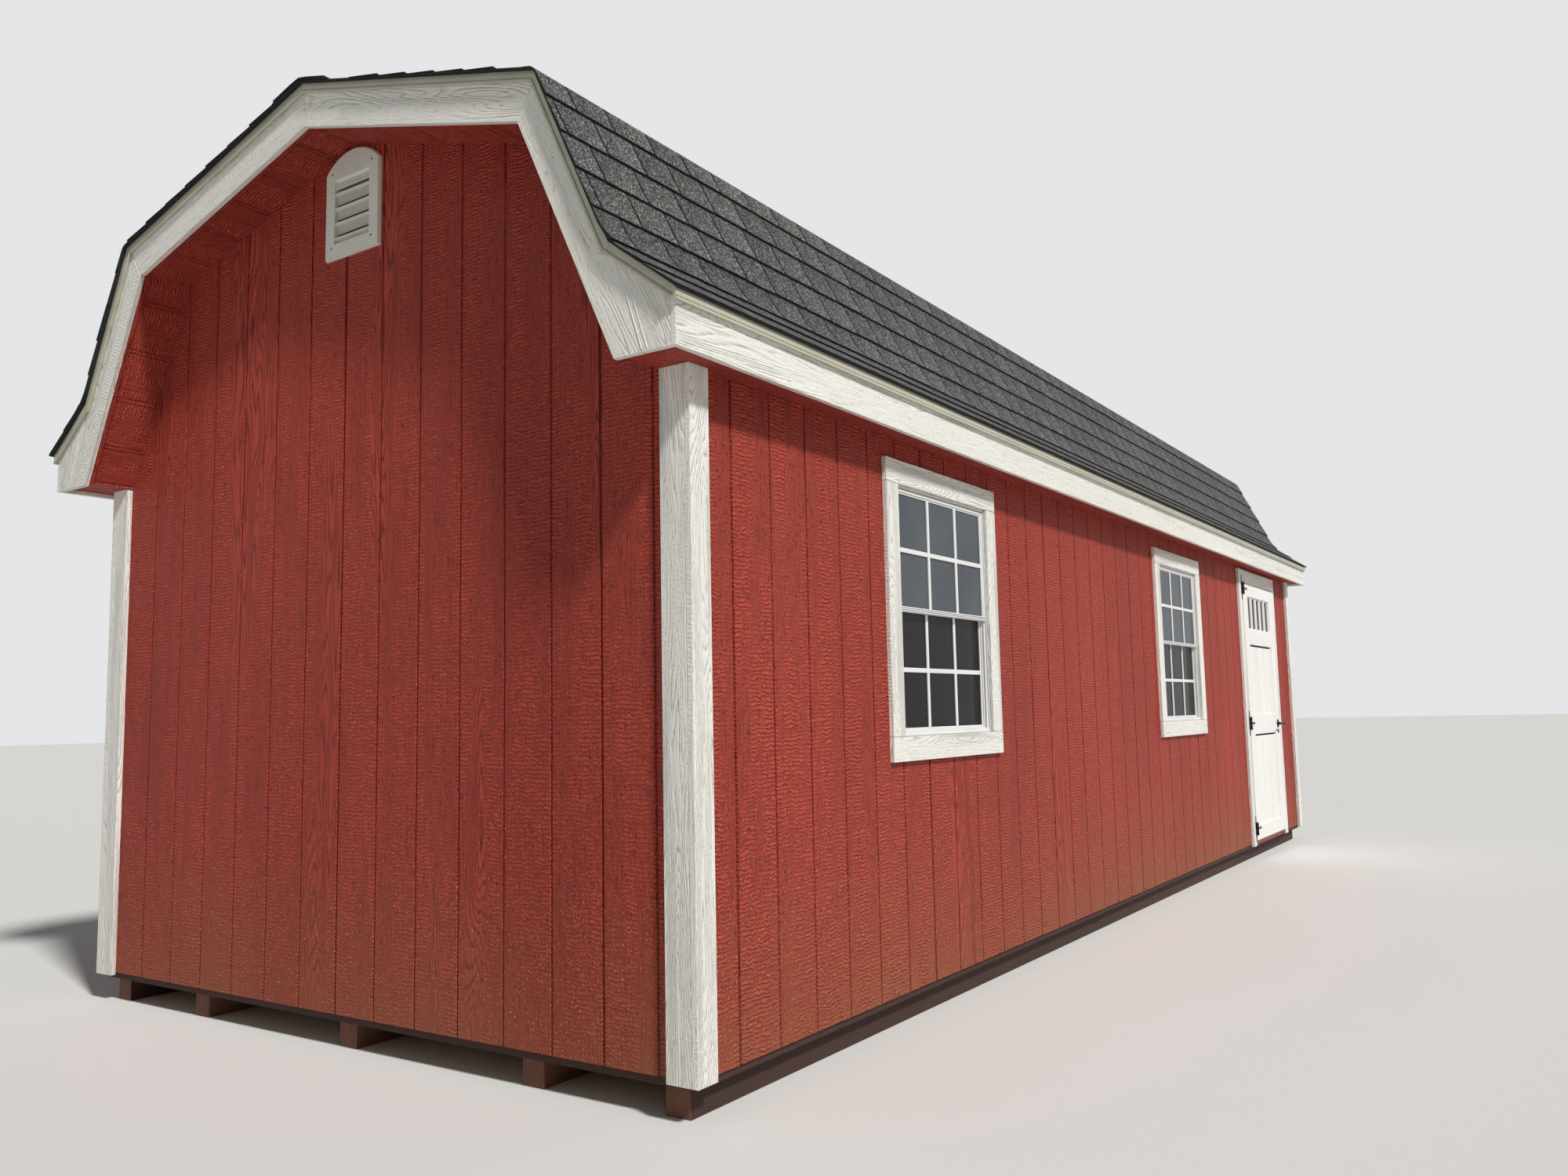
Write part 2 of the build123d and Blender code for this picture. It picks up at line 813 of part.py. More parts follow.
with BuildPart() as door_threshold:
    block(
        wall_back - THRESHOLD_REACH,
        half_width + SILL_PROUD,
        jamb_near,
        jamb_far,
        floor_top,
        floor_top + THRESHOLD_THICK,
    )

# Service door leaf
leaf_front = trim_face + LEAF_PROUD
leaf_back = leaf_front - LEAF_THICK
leaf_near = doorway_near + DOOR_GAP
leaf_far = doorway_far - DOOR_GAP
leaf_bottom = floor_top + THRESHOLD_THICK + DOOR_GAP
leaf_top = doorway_top - DOOR_GAP
panel_near = leaf_near + STILE_WIDTH
panel_far = leaf_far - STILE_WIDTH
lower_panel_bottom = leaf_bottom + BOTTOM_RAIL_WIDTH
lower_panel_top = lower_panel_bottom + LOWER_PANEL_HEIGHT
lite_top = leaf_top - TOP_RAIL_WIDTH
lite_bottom = lite_top - LITE_HEIGHT
upper_panel_top = lite_bottom - LITE_RAIL_WIDTH
upper_panel_bottom = lower_panel_top + LOCK_RAIL_WIDTH
openings = (
    (lower_panel_bottom, lower_panel_top),
    (upper_panel_bottom, upper_panel_top),
)
lite = (lite_bottom, lite_top)
handle_y = leaf_far - HANDLE_INSET
handle_z = lower_panel_top + HANDLE_RISE
spindle_bore = SPINDLE_RADIUS + SPINDLE_CLEARANCE

with BuildPart() as door_frame:
    block(leaf_back, leaf_front, leaf_near, leaf_far, leaf_bottom, leaf_top)
    for low, high in openings + (lite,):
        cut_block(leaf_back, leaf_front, panel_near, panel_far, low, high)
    rod(leaf_back, leaf_front, handle_y, handle_z, spindle_bore, mode=Mode.SUBTRACT)

with BuildPart() as door_panels:
    for low, high in openings:
        panel_front = leaf_front - PANEL_RECESS
        block(panel_front - PANEL_THICK, panel_front, panel_near, panel_far, low, high)

with BuildPart() as door_glass:
    glass_front = leaf_front - LITE_RECESS
    block(glass_front - GLASS_THICK, glass_front, panel_near, panel_far, *lite)

# Hinges: the pin stands in front of the gap between the casing and the leaf
hinge_y = doorway_near + DOOR_GAP / 2
hinge_x = leaf_front + BARREL_STANDOFF + BARREL_RADIUS
barrel_step = HINGE_PLATE_HEIGHT / BARREL_COUNT
barrel_length = barrel_step - BARREL_GAP
finial = HINGE_PLATE_HEIGHT / 2 + HINGE_FINIAL_REACH
hinge_heights = (
    leaf_bottom + LOW_HINGE_RISE,
    leaf_bottom + MIDDLE_HINGE_RISE,
    leaf_top - TOP_HINGE_DROP,
)

with BuildPart() as hinge_plates:
    plate_front = trim_face + HINGE_PLATE_THICK
    plate_near = doorway_near - HINGE_PLATE_WIDTH
    plate_middle = doorway_near - HINGE_PLATE_WIDTH / 2
    for hinge_z in hinge_heights:
        low = hinge_z - HINGE_PLATE_HEIGHT / 2
        high = hinge_z + HINGE_PLATE_HEIGHT / 2
        block(trim_face, plate_front, plate_near, doorway_near, low, high)
        block(
            trim_face,
            plate_front,
            plate_middle - HINGE_FINIAL_WIDTH / 2,
            plate_middle + HINGE_FINIAL_WIDTH / 2,
            hinge_z - finial,
            hinge_z + finial,
        )
        for start in (low, high - barrel_length):
            web_near = doorway_near - WEB_WIDTH
            block(trim_face, hinge_x, web_near, doorway_near, start, start + barrel_length)
            upright(hinge_x, hinge_y, start, start + barrel_length, BARREL_RADIUS)
        upright(hinge_x, hinge_y, low, high, PIN_RADIUS)

with BuildPart() as hinge_straps:
    strap_front = leaf_front + HINGE_PLATE_THICK
    for hinge_z in hinge_heights:
        low = hinge_z - barrel_length / 2
        high = hinge_z + barrel_length / 2
        with BuildSketch(Plane.YZ.offset(leaf_front)):
            with BuildLine():
                Polyline(
                    (leaf_near, hinge_z - STRAP_WIDTH / 2),
                    (leaf_near + STRAP_LENGTH - STRAP_WIDTH, hinge_z - STRAP_WIDTH / 4),
                    (leaf_near + STRAP_LENGTH - STRAP_WIDTH / 2, hinge_z - STRAP_WIDTH / 2),
                    (leaf_near + STRAP_LENGTH, hinge_z),
                    (leaf_near + STRAP_LENGTH - STRAP_WIDTH / 2, hinge_z + STRAP_WIDTH / 2),
                    (leaf_near + STRAP_LENGTH - STRAP_WIDTH, hinge_z + STRAP_WIDTH / 4),
                    (leaf_near, hinge_z + STRAP_WIDTH / 2),
                    close=True,
                )
            make_face()
        extrude(amount=HINGE_PLATE_THICK)
        block(leaf_front, hinge_x, leaf_near, leaf_near + WEB_WIDTH, low, high)
        upright(hinge_x, hinge_y, low, high, BARREL_RADIUS)
        upright(hinge_x, hinge_y, low, high, PIN_RADIUS + PIN_CLEARANCE, mode=Mode.SUBTRACT)

# Handle: one spindle carries a lever on each face of the leaf
with BuildPart() as door_roses:
    for face, outward in ((leaf_front, 1), (leaf_back, -1)):
        rose_end = face + outward * ROSE_THICK
        rod(face, rose_end, handle_y, handle_z, ROSE_RADIUS)
        rod(face, rose_end, handle_y, handle_z, spindle_bore, mode=Mode.SUBTRACT)

with BuildPart() as door_lock:
    for face, outward in ((leaf_front, 1), (leaf_back, -1)):
        lock_end = face + outward * LOCK_PROUD
        rod(face, lock_end, handle_y, handle_z - LOCK_DROP, LOCK_RADIUS)

with BuildPart() as door_lever:
    spindle_ends = []
    for face, outward in ((leaf_front, 1), (leaf_back, -1)):
        neck_start = face + outward * (ROSE_THICK + NECK_CLEARANCE)
        neck_end = neck_start + outward * NECK_LENGTH
        lever_end = neck_end + outward * LEVER_THICK
        rod(neck_start, lever_end, handle_y, handle_z, NECK_RADIUS)
        block(
            neck_end,
            lever_end,
            handle_y - LEVER_LENGTH,
            handle_y,
            handle_z - LEVER_HEIGHT / 2,
            handle_z + LEVER_HEIGHT / 2,
        )
        spindle_ends.append(neck_start)
    rod(*spindle_ends, handle_y, handle_z, SPINDLE_RADIUS)

# Vehicle door and its casing
section_height = VEHICLE_HEIGHT / VEHICLE_SECTIONS
vehicle_face = half_length - VEHICLE_SETBACK

with BuildPart() as vehicle_door:
    for k in range(VEHICLE_SECTIONS):
        low = floor_top + k * section_height
        high = low + section_height - SEAM
        block(
            SEAM - vehicle_half,
            vehicle_half - SEAM,
            vehicle_face - VEHICLE_THICK,
            vehicle_face,
            low,
            high,
        )

with BuildPart() as vehicle_door_casing:
    casing_face = half_length + TRIM_THICK
    casing_side = vehicle_half + TRIM_WIDTH
    for side in sides:
        block(
            side * vehicle_half,
            side * casing_side,
            half_length,
            casing_face,
            casing_bottom,
            vehicle_top - SEAM,
        )
    block(
        -casing_side, casing_side, half_length, casing_face, vehicle_top, vehicle_top + TRIM_WIDTH
    )

pieces = {
    "skids": skids,
    "floor_planks": floor_planks,
    "left_wall_siding": left_wall_siding,
    "right_wall_siding": right_wall_siding,
    "right_wall_end_siding": right_wall_end_siding,
    "siding_over_door": siding_over_door,
    "near_gable_siding": near_gable_siding,
    "far_gable_siding": far_gable_siding,
    "corner_boards": corner_boards,
    "wall_studs": wall_studs,
    "wall_plates": wall_plates,
    "wall_headers": wall_headers,
    "gable_studs": gable_studs,
    "rafters": rafters,
    "roof_deck": roof_deck,
    "roof_shingles": roof_shingles,
    "ridge_cap": ridge_cap,
    "drip_edges": drip_edges,
    "rake_boards": rake_boards,
    "eave_fascias": eave_fascias,
    "eave_soffits": eave_soffits,
    "gable_soffits": gable_soffits,
    "window_trim": window_trim,
    "window_frames": window_frames,
    "upper_sashes": upper_sashes,
    "lower_sashes": lower_sashes,
    "window_glass": window_glass,
    "gable_vents": gable_vents,
    "vent_slats": vent_slats,
    "door_casing": door_casing,
    "door_jamb": door_jamb,
    "door_sill": door_sill,
    "door_threshold": door_threshold,
    "hinge_plates": hinge_plates,
    "door_frame": door_frame,
    "door_panels": door_panels,
    "door_glass": door_glass,
    "hinge_straps": hinge_straps,
    "door_roses": door_roses,
    "door_lock": door_lock,
    "door_lever": door_lever,
    "vehicle_door": vehicle_door,
    "vehicle_door_casing": vehicle_door_casing,
}

os.makedirs("parts", exist_ok=True)
for name, piece in pieces.items():
    piece.part.label = name
    export_step(piece.part, f"parts/{name}.step")
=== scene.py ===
import math
import random

import bmesh
import bpy
from mathutils import Matrix, Vector


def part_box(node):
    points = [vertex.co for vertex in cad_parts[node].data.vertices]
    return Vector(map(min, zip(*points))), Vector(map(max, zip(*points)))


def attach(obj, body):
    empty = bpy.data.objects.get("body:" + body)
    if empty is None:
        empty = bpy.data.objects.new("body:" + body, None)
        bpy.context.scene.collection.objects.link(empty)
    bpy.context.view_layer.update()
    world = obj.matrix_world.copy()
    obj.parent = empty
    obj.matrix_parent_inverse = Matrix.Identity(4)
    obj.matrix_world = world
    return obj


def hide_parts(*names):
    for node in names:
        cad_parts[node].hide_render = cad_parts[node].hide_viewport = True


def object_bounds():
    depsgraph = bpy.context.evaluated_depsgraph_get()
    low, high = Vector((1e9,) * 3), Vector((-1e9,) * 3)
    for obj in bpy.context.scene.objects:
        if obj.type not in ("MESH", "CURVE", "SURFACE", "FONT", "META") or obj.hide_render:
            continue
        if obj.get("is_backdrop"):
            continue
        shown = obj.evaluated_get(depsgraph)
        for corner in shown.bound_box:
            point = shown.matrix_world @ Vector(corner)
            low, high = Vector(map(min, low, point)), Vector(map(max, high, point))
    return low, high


# Frame: +Z up, metres, the gable that shows at -Y, the door wall at +X.
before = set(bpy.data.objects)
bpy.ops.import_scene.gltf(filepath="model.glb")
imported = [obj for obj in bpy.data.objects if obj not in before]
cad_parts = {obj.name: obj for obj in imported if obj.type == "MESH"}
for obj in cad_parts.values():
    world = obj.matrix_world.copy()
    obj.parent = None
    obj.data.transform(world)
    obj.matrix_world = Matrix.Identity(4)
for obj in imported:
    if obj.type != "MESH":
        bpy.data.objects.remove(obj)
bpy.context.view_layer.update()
scene = bpy.context.scene

SIDES = (1, -1)
ENDS = (-1, 1)
CORNERS = [(side, end) for side in SIDES for end in ENDS]

# Walls and the boards on them
HALF_WIDTH = 1.524
HALF_LENGTH = 3.9625
WALL_TOP = 2.095
SIDING_BOTTOM = 0.114
SIDING_THICK = 0.016
INNER_END = HALF_LENGTH - SIDING_THICK
CORNER_THICK = 0.022
TRIM_THICK = 0.019
TRIM_WIDTH = 0.089
TRIM_X = HALF_WIDTH + TRIM_THICK
CASING_LOW = 0.099
SEAM = 0.0003

# Openings: places along a wall, and heights
WINDOW_ROWS = (-2.3765, 0.8085)
WINDOW_HALF = 0.381
WINDOW_LOW, WINDOW_HIGH = 1.003, 1.918
MEETING = 1.464
DOORWAY_NEAR, DOORWAY_FAR, DOORWAY_HIGH = 2.417, 3.362, 1.966
VEHICLE_HALF, VEHICLE_HIGH = 1.219, 2.108

# Roof: x and z of the deck's corners, and its edges
PEAK, KNUCKLE, BEND = (0.0, 3.320), (1.138, 2.996), (1.417, 2.405)
KICK_PITCH = math.radians(37)
DECK_THICK = 0.012
RAKE_FACE, RAKE_BACK = 4.1655, 4.1465
EAVE_X = 1.646
SHINGLE_X, SHINGLE_END = 1.670, 4.1955


# Roof slopes, by where the deck's top starts and how steeply it falls
def slope_between(start, stop):
    return *start, math.atan2(start[1] - stop[1], stop[0] - start[0])


UPPER = slope_between(PEAK, KNUCKLE)
STEEP = slope_between(KNUCKLE, BEND)
KICK = (*BEND, KICK_PITCH)


def height_at(slope, x, depth):
    start_x, start_z, pitch = slope
    return start_z - depth / math.cos(pitch) - (x - start_x) * math.tan(pitch)


def reach_at(slope, z, depth):
    start_x, start_z, pitch = slope
    return start_x + (start_z - depth / math.cos(pitch) - z) / math.tan(pitch)


def corner_at(upper, upper_depth, lower, lower_depth):
    """Where two slopes meet, each at its own depth."""
    rise = height_at(lower, 0, lower_depth) - height_at(upper, 0, upper_depth)
    return rise / (math.tan(lower[2]) - math.tan(upper[2]))


def under(slope, x, depth=0.0):
    """A place at a depth under a slope, as x and z."""
    return x, height_at(slope, x, depth)


def band(slope, depths, starts, stops):
    """Outline of a strip down a slope, between two depths; its ends give x at each depth."""
    (top, bottom), (a, d), (b, c) = depths, starts, stops
    return [under(slope, a, top), under(slope, b, top), under(slope, c, bottom), under(slope, d, bottom)]


def section(points, side, y):
    return [(side * x, y, z) for x, z in points]


def fall(slope, side):
    """Unit vector down a slope."""
    return Vector((side * math.cos(slope[2]), 0, -math.sin(slope[2])))


# Materials
class Look:
    """One procedural material, built node by node."""

    def __init__(self, name, roughness=0.5, metallic=0.0, specular=0.5):
        self.material = bpy.data.materials.new(name)
        self.material.use_nodes = True
        self.tree = self.material.node_tree
        self.shader = self.tree.nodes["Principled BSDF"]
        self.shader.inputs["Metallic"].default_value = metallic
        self.shader.inputs["Specular IOR Level"].default_value = specular
        self.shader.inputs["Roughness"].default_value = roughness

    def put(self, value, socket):
        """Links a value made by a node, or sets a plain one; a colour gets its alpha."""
        if isinstance(value, bpy.types.NodeSocket):
            self.tree.links.new(value, socket)
        elif isinstance(value, tuple) and socket.type == "RGBA":
            socket.default_value = (*value, 1)
        else:
            socket.default_value = value

    def node(self, kind, inputs, **settings):
        made = self.tree.nodes.new("ShaderNode" + kind)
        for key, value in settings.items():
            setattr(made, key, value)
        for key, value in inputs.items():
            self.put(value, made.inputs[key])
        return made

    def math(self, operation, a, b=0.0, c=0.0):
        return self.node("Math", {0: a, 1: b, 2: c}, operation=operation).outputs[0]

    def scaled(self, value, factor, plus):
        return self.math("MULTIPLY_ADD", value, factor, plus)

    def times(self, value, *factors):
        for factor in factors:
            value = self.math("MULTIPLY", value, factor)
        return value

    def mean(self, *pairs):
        """Sum of values, each times its weight."""
        total = 0.0
        for value, weight in pairs:
            total = self.scaled(value, weight, total)
        return total

    def wave(self, value):
        return self.scaled(self.math("SINE", value), 0.5, 0.5)

    def axis(self, vector, k):
        return self.node("SeparateXYZ", {0: vector}).outputs[k]

    def uv(self):
        """The piece's own UV, in metres along and across its grain."""
        return self.node("UVMap", {}, uv_map="Grain").outputs[0]

    def stretched(self, vector, scale):
        return self.node("Mapping", {"Vector": vector, "Scale": scale}).outputs[0]

    def place(self, scale=(1, 1, 1)):
        """The place on the object, in metres."""
        return self.stretched(self.node("TexCoord", {}).outputs["Object"], scale)

    def noise(self, vector, scale=1.0, detail=2.0, rough=0.5, bend=0.0):
        inputs = {"Vector": vector, "Scale": scale, "Detail": detail, "Roughness": rough}
        inputs["Distortion"] = bend
        return self.node("TexNoise", inputs).outputs["Fac"]

    def grain_noise(self, along, across, **settings):
        """Noise stretched along and across the grain."""
        return self.noise(self.stretched(self.uv(), (along, across, 1)), **settings)

    def place_noise(self, scale, **settings):
        return self.noise(self.place(), scale, **settings)

    def cells(self, vector, scale=1.0):
        inputs = {"Vector": vector, "Scale": scale}
        return self.node("TexVoronoi", inputs, feature="F1").outputs

    def chance(self, cells):
        """A value of its own for each cell."""
        return self.node("SeparateColor", {0: cells["Color"]}).outputs[0]

    def ramp(self, value, *stops):
        made = self.node("ValToRGB", {"Fac": value})
        elements = made.color_ramp.elements
        while len(elements) < len(stops):
            elements.new(0.5)
        for element, (place, colour) in zip(elements, stops):
            element.position = place
            if isinstance(colour, (int, float)):
                colour = (colour, colour, colour)
            element.color = (*colour, 1)
        return made.outputs[0]

    def mix(self, factor, a, b, kind="MIX"):
        inputs = {"Fac": factor, "Color1": a, "Color2": b}
        return self.node("MixRGB", inputs, blend_type=kind).outputs[0]

    def tint(self, colour, *factors):
        for factor in factors:
            colour = self.mix(1.0, colour, factor, "MULTIPLY")
        return colour

    def bump(self, height, distance, strength=1.0):
        inputs = {"Height": height, "Distance": distance, "Strength": strength}
        self.put(self.node("Bump", inputs).outputs[0], self.shader.inputs["Normal"])

    def finish(self, colour, roughness=None):
        self.put(colour, self.shader.inputs["Base Color"])
        if roughness is not None:
            self.put(roughness, self.shader.inputs["Roughness"])
        return self.material


def darker(tone, share):
    return tuple(c * share for c in tone)


def grain_height(look, streaks, ripples, rings, band=0.57, turns=120.0, pits=0.25):
    """Embossed wood: streaks, saw ripples in columns, cathedral rings in narrow bands, pits."""
    streak = look.grain_noise(7.0, 120, detail=4, rough=0.75)
    along = look.axis(look.stretched(look.uv(), (1, 1, 1)), 0)
    warp = look.grain_noise(6.0, 15)
    jitter = look.grain_noise(48, 42)
    ripple = look.wave(look.mean((along, 470.0), (warp, 10.5), (jitter, 11.0)))
    column = look.ramp(look.grain_noise(1.3, 11), (0.40, 0.12), (0.58, 1.0))
    broken = look.ramp(look.grain_noise(32, 26, detail=1), (0.36, 0.15), (0.56, 1.0))
    sawn = look.times(ripple, column, broken, ripples)
    field = look.grain_noise(0.8, 7.5, detail=1.5, bend=0.3)
    ring = look.ramp(look.wave(look.times(field, turns)), (0.0, 0.0), (0.45, 0.85), (1.0, 1.0))
    inside = look.grain_noise(0.35, 4.2, detail=1)
    inside = look.ramp(inside, (band, 0.0), (band + 0.05, 1.0))
    worked = look.mix(inside, sawn, look.scaled(ring, rings, 0.12 - 0.6 * rings))
    pit = look.ramp(look.grain_noise(50, 150, detail=1), (0.62, 0.0), (0.70, 1.0))
    speck = look.place_noise(230, rough=0.7)
    return look.mean((streak, streaks), (worked, 1.0), (pit, -pits), (speck, 0.30))


def painted_siding():
    """Red paint with painted shade in the grain's hollows and a painted highlight on its ridges, pale
    flecks and rain splash near the ground.
    """
    look = Look("red_siding_paint", specular=0.14)
    height = grain_height(look, 0.90, 0.66, 0.42, 0.59, 210.0)
    look.bump(height, 0.0078)
    wide = look.grain_noise(0.35, 1.4, detail=3)
    shade = look.ramp(wide, (0.3, (0.330, 0.046, 0.031)), (0.7, (0.400, 0.059, 0.039)))
    # Painted shade and highlight: the colour is darkened in the grain's hollows and lightened on its
    # ridges.
    painted_relief_shading = look.ramp(height, (0.38, 0.38), (0.62, 0.92), (0.80, 1.07), (1.0, 1.42))
    level = look.axis(look.place(), 2)
    fleck = look.ramp(look.grain_noise(105, 165, detail=1), (0.665, 0.0), (0.70, 1.0))
    fleck = look.times(fleck, look.ramp(level, (0.1, 0.9), (0.60, 0.45), (1.0, 0.16)))
    colour = look.mix(fleck, look.tint(shade, painted_relief_shading), (0.80, 0.50, 0.36))
    splash = look.times(look.ramp(level, (0.1, 1.0), (0.28, 0.5), (0.65, 0.0)), wide, 1.3)
    colour = look.mix(splash, colour, (0.30, 0.105, 0.050))
    return look.finish(colour, look.scaled(height, 0.25, 0.36))


def painted_trim(name, streaks, ripples, rings, depth, tone=(0.90, 0.89, 0.835)):
    """White paint on grained boards, with painted shade in the grain's hollows and faint scuffs."""
    look = Look(name, specular=0.4)
    height = grain_height(look, streaks, ripples, rings, 0.44, 290.0, 0.10)
    look.bump(height, depth)
    wide = look.grain_noise(0.9, 3.0, detail=3)
    shade = look.ramp(wide, (0.35, darker(tone, 0.94)), (0.65, tone))
    middle = 0.5 * streaks + 0.17
    # Painted shade: the colour is darkened in the grain's hollows.
    painted_relief_shading = look.ramp(height, (middle - 0.26, (0.56, 0.54, 0.47)), (middle - 0.02, 1.0))
    scuff = look.ramp(look.place_noise(55), (0.70, 0.0), (0.78, 0.3))
    colour = look.mix(scuff, look.tint(shade, painted_relief_shading), (0.48, 0.45, 0.38))
    return look.finish(colour, look.scaled(wide, 0.2, 0.4))


def smooth_white(name, tone, roughness):
    look = Look(name)
    look.bump(look.place_noise(420), 0.00015, 0.6)
    wide = look.place_noise(5, detail=3)
    colour = look.ramp(wide, (0.35, darker(tone, 0.94)), (0.65, tone))
    return look.finish(colour, look.scaled(wide, 0.2, roughness - 0.1))


def asphalt_shingle():
    """Granules, with each tab dark at its near top and pale towards its far butt.

    A tab's UV runs from a whole even number, its own, to one more across, and from its butt up.
    """
    look = Look("charcoal_shingle", specular=0.25)
    parts = look.node("SeparateXYZ", {0: look.uv()}).outputs
    number = look.math("FLOOR", look.times(parts[0], 0.5))
    across = look.math("SUBTRACT", parts[0], look.times(number, 2.0))
    blur = look.times(look.place_noise(45, detail=3), 0.5)
    slant = look.math("ADD", across, look.times(parts[1], -0.62))
    slant = look.math("ADD", slant, look.math("SUBTRACT", blur, 0.25))
    shadow = look.ramp(slant, (0.0, 0.76), (0.28, 0.94), (0.68, 1.02), (0.90, 1.20))
    # Painted shade along each tab's near edge, beside the slot.
    edge = look.ramp(across, (0.052, 0.25), (0.074, 1.0))
    # Painted shade along each tab's butt, widening the dark line there.
    lip = look.ramp(parts[1], (0.0, 0.30), (0.045, 1.0))
    # Painted shadow of the butt above, across the top of each tab's exposure.
    painted_butt_shadow = look.ramp(parts[1], (0.85, 1.0), (0.89, 0.55), (0.93, 0.12))
    own = look.node("TexWhiteNoise", {"W": number}, noise_dimensions="1D").outputs[0]
    own = look.ramp(own, (0.0, 0.86), (1.0, 1.12))
    clump = look.place_noise(95, rough=0.7)
    clump = look.ramp(clump, (0.34, 0.45), (0.5, 0.95), (0.66, 1.75))
    warmth = look.place_noise(2.2)
    warmth = look.ramp(warmth, (0.4, (0.97, 0.99, 1.05)), (0.6, (1.03, 1.0, 0.97)))
    cells = look.cells(look.place(), 260.0)
    chance = look.chance(cells)
    granule = ((0.0, 0.016), (0.4, 0.052), (0.7, 0.112), (0.9, 0.21), (1.0, 0.34))
    granule = look.ramp(chance, *granule)
    colour = look.tint(granule, shadow, own, painted_butt_shadow, clump, edge, lip, warmth)
    look.bump(cells["Distance"], 0.0016, 0.9)
    return look.finish(colour, look.ramp(chance, (0.0, 0.95), (1.0, 0.72)))


def black_crumb(name):
    """Cut asphalt, and rubber that has weathered; the rubber is also used as painted shade."""
    look = Look(name, roughness=0.9, specular=0.2)
    crumb = look.place_noise(260, detail=3)
    look.bump(crumb, 0.0012)
    return look.finish(look.ramp(crumb, (0.3, (0.008, 0.008, 0.009)), (0.7, (0.045, 0.044, 0.043))))


def folded_metal():
    look = Look("almond_drip_metal")
    wide = look.noise(look.place((1.2, 0.8, 6)), scale=3, detail=4)
    colour = look.ramp(wide, (0.3, (0.44, 0.43, 0.335)), (0.7, (0.52, 0.51, 0.41)))
    look.bump(look.noise(look.place((3, 3, 3)), scale=6, detail=1), 0.0015, 0.5)
    return look.finish(colour, look.ramp(wide, (0.3, 0.32), (0.7, 0.46)))


def bare_timber(name, pale, dark, sawn=0.0012):
    look = Look(name, roughness=0.75, specular=0.3)
    height = grain_height(look, 0.8, 0.35, 0.45, 0.5)
    look.bump(height, sawn)
    wide = look.grain_noise(0.7, 5, detail=3)
    knots = look.cells(look.stretched(look.uv(), (1.3, 9, 1)))["Distance"]
    knot = look.ramp(knots, (0.05, 1.0), (0.11, 0.0))
    tone = look.mix(look.times(height, 0.75), dark, pale)
    tone = look.mix(look.times(wide, 0.45), tone, dark)
    return look.finish(look.mix(look.times(knot, 0.6), tone, darker(dark, 0.4)))


def framing_timber(name, scale):
    """Timber of the inner frame, its grain laid along one axis of the place."""
    look = Look(name, roughness=0.8, specular=0.25)
    streak = look.noise(look.place(scale), detail=4, rough=0.6)
    look.bump(streak, 0.0008)
    return look.finish(look.ramp(streak, (0.3, (0.42, 0.27, 0.14)), (0.7, (0.66, 0.49, 0.30))))


def strand_board(name, pale, dark):
    look = Look(name, roughness=0.85, specular=0.2)
    chance = look.chance(look.cells(look.place((30, 14, 22))))
    fine = look.place_noise(140, detail=3)
    look.bump(look.mix(0.5, chance, fine), 0.0008)
    return look.finish(look.mix(look.times(fine, 0.35), look.mix(chance, dark, pale), dark))


def black_iron():
    look = Look("black_iron", metallic=0.6)
    rough = look.place_noise(240, detail=3)
    look.bump(rough, 0.0004, 0.7)
    worn = look.place_noise(30, detail=4)
    worn = look.ramp(worn, (0.5, (0.012, 0.012, 0.013)), (0.8, (0.05, 0.048, 0.046)))
    return look.finish(worn, look.ramp(rough, (0.3, 0.32), (0.7, 0.55)))


def brushed_metal():
    look = Look("brushed_metal", metallic=0.9)
    streak = look.noise(look.place((60, 3, 60)), scale=4, detail=4)
    look.bump(streak, 0.0003, 0.6)
    colour = look.ramp(streak, (0.3, (0.42, 0.41, 0.40)), (0.7, (0.66, 0.65, 0.63)))
    return look.finish(colour, look.ramp(streak, (0.3, 0.3), (0.7, 0.5)))


def window_pane(name, low, high):
    """Thin dark panes; one tone below the meeting rails and another above them, which on the windows is
    a painted sky reflection.
    """
    look = Look(name, specular=0.14)
    look.shader.inputs["Alpha"].default_value = 0.74
    above = look.math("GREATER_THAN", look.axis(look.place(), 2), MEETING)
    haze = look.place_noise(3, detail=4)
    look.bump(look.place_noise(2.5, detail=1), 0.0015)
    pane_tone_and_painted_reflection = look.tint(look.mix(above, low, high), look.ramp(haze, (0.3, 0.8), (0.7, 1.2)))
    return look.finish(pane_tone_and_painted_reflection, look.ramp(haze, (0.3, 0.02), (0.7, 0.05)))


SIDING = painted_siding()
TRIM = painted_trim("white_trim_paint", 0.90, 0.30, 0.38, 0.0054)
DOOR_PAINT = painted_trim("white_door_paint", 0.50, 0.08, 0.12, 0.0012, (0.88, 0.875, 0.845))
CAULK = smooth_white("white_caulk", (0.84, 0.83, 0.80), 0.5)
VINYL = smooth_white("white_vinyl", (0.80, 0.805, 0.79), 0.38)
VENT_WHITE = smooth_white("vent_plastic", (0.72, 0.72, 0.65), 0.45)
# Darker copy of the vent's plastic: painted shade on the slats' risers, which face out and down.
VENT_RISER_PAINTED_SHADE = smooth_white("vent_riser_painted_shade", (0.46, 0.46, 0.38), 0.5)
SHINGLE = asphalt_shingle()
ASPHALT = black_crumb("cut_asphalt")
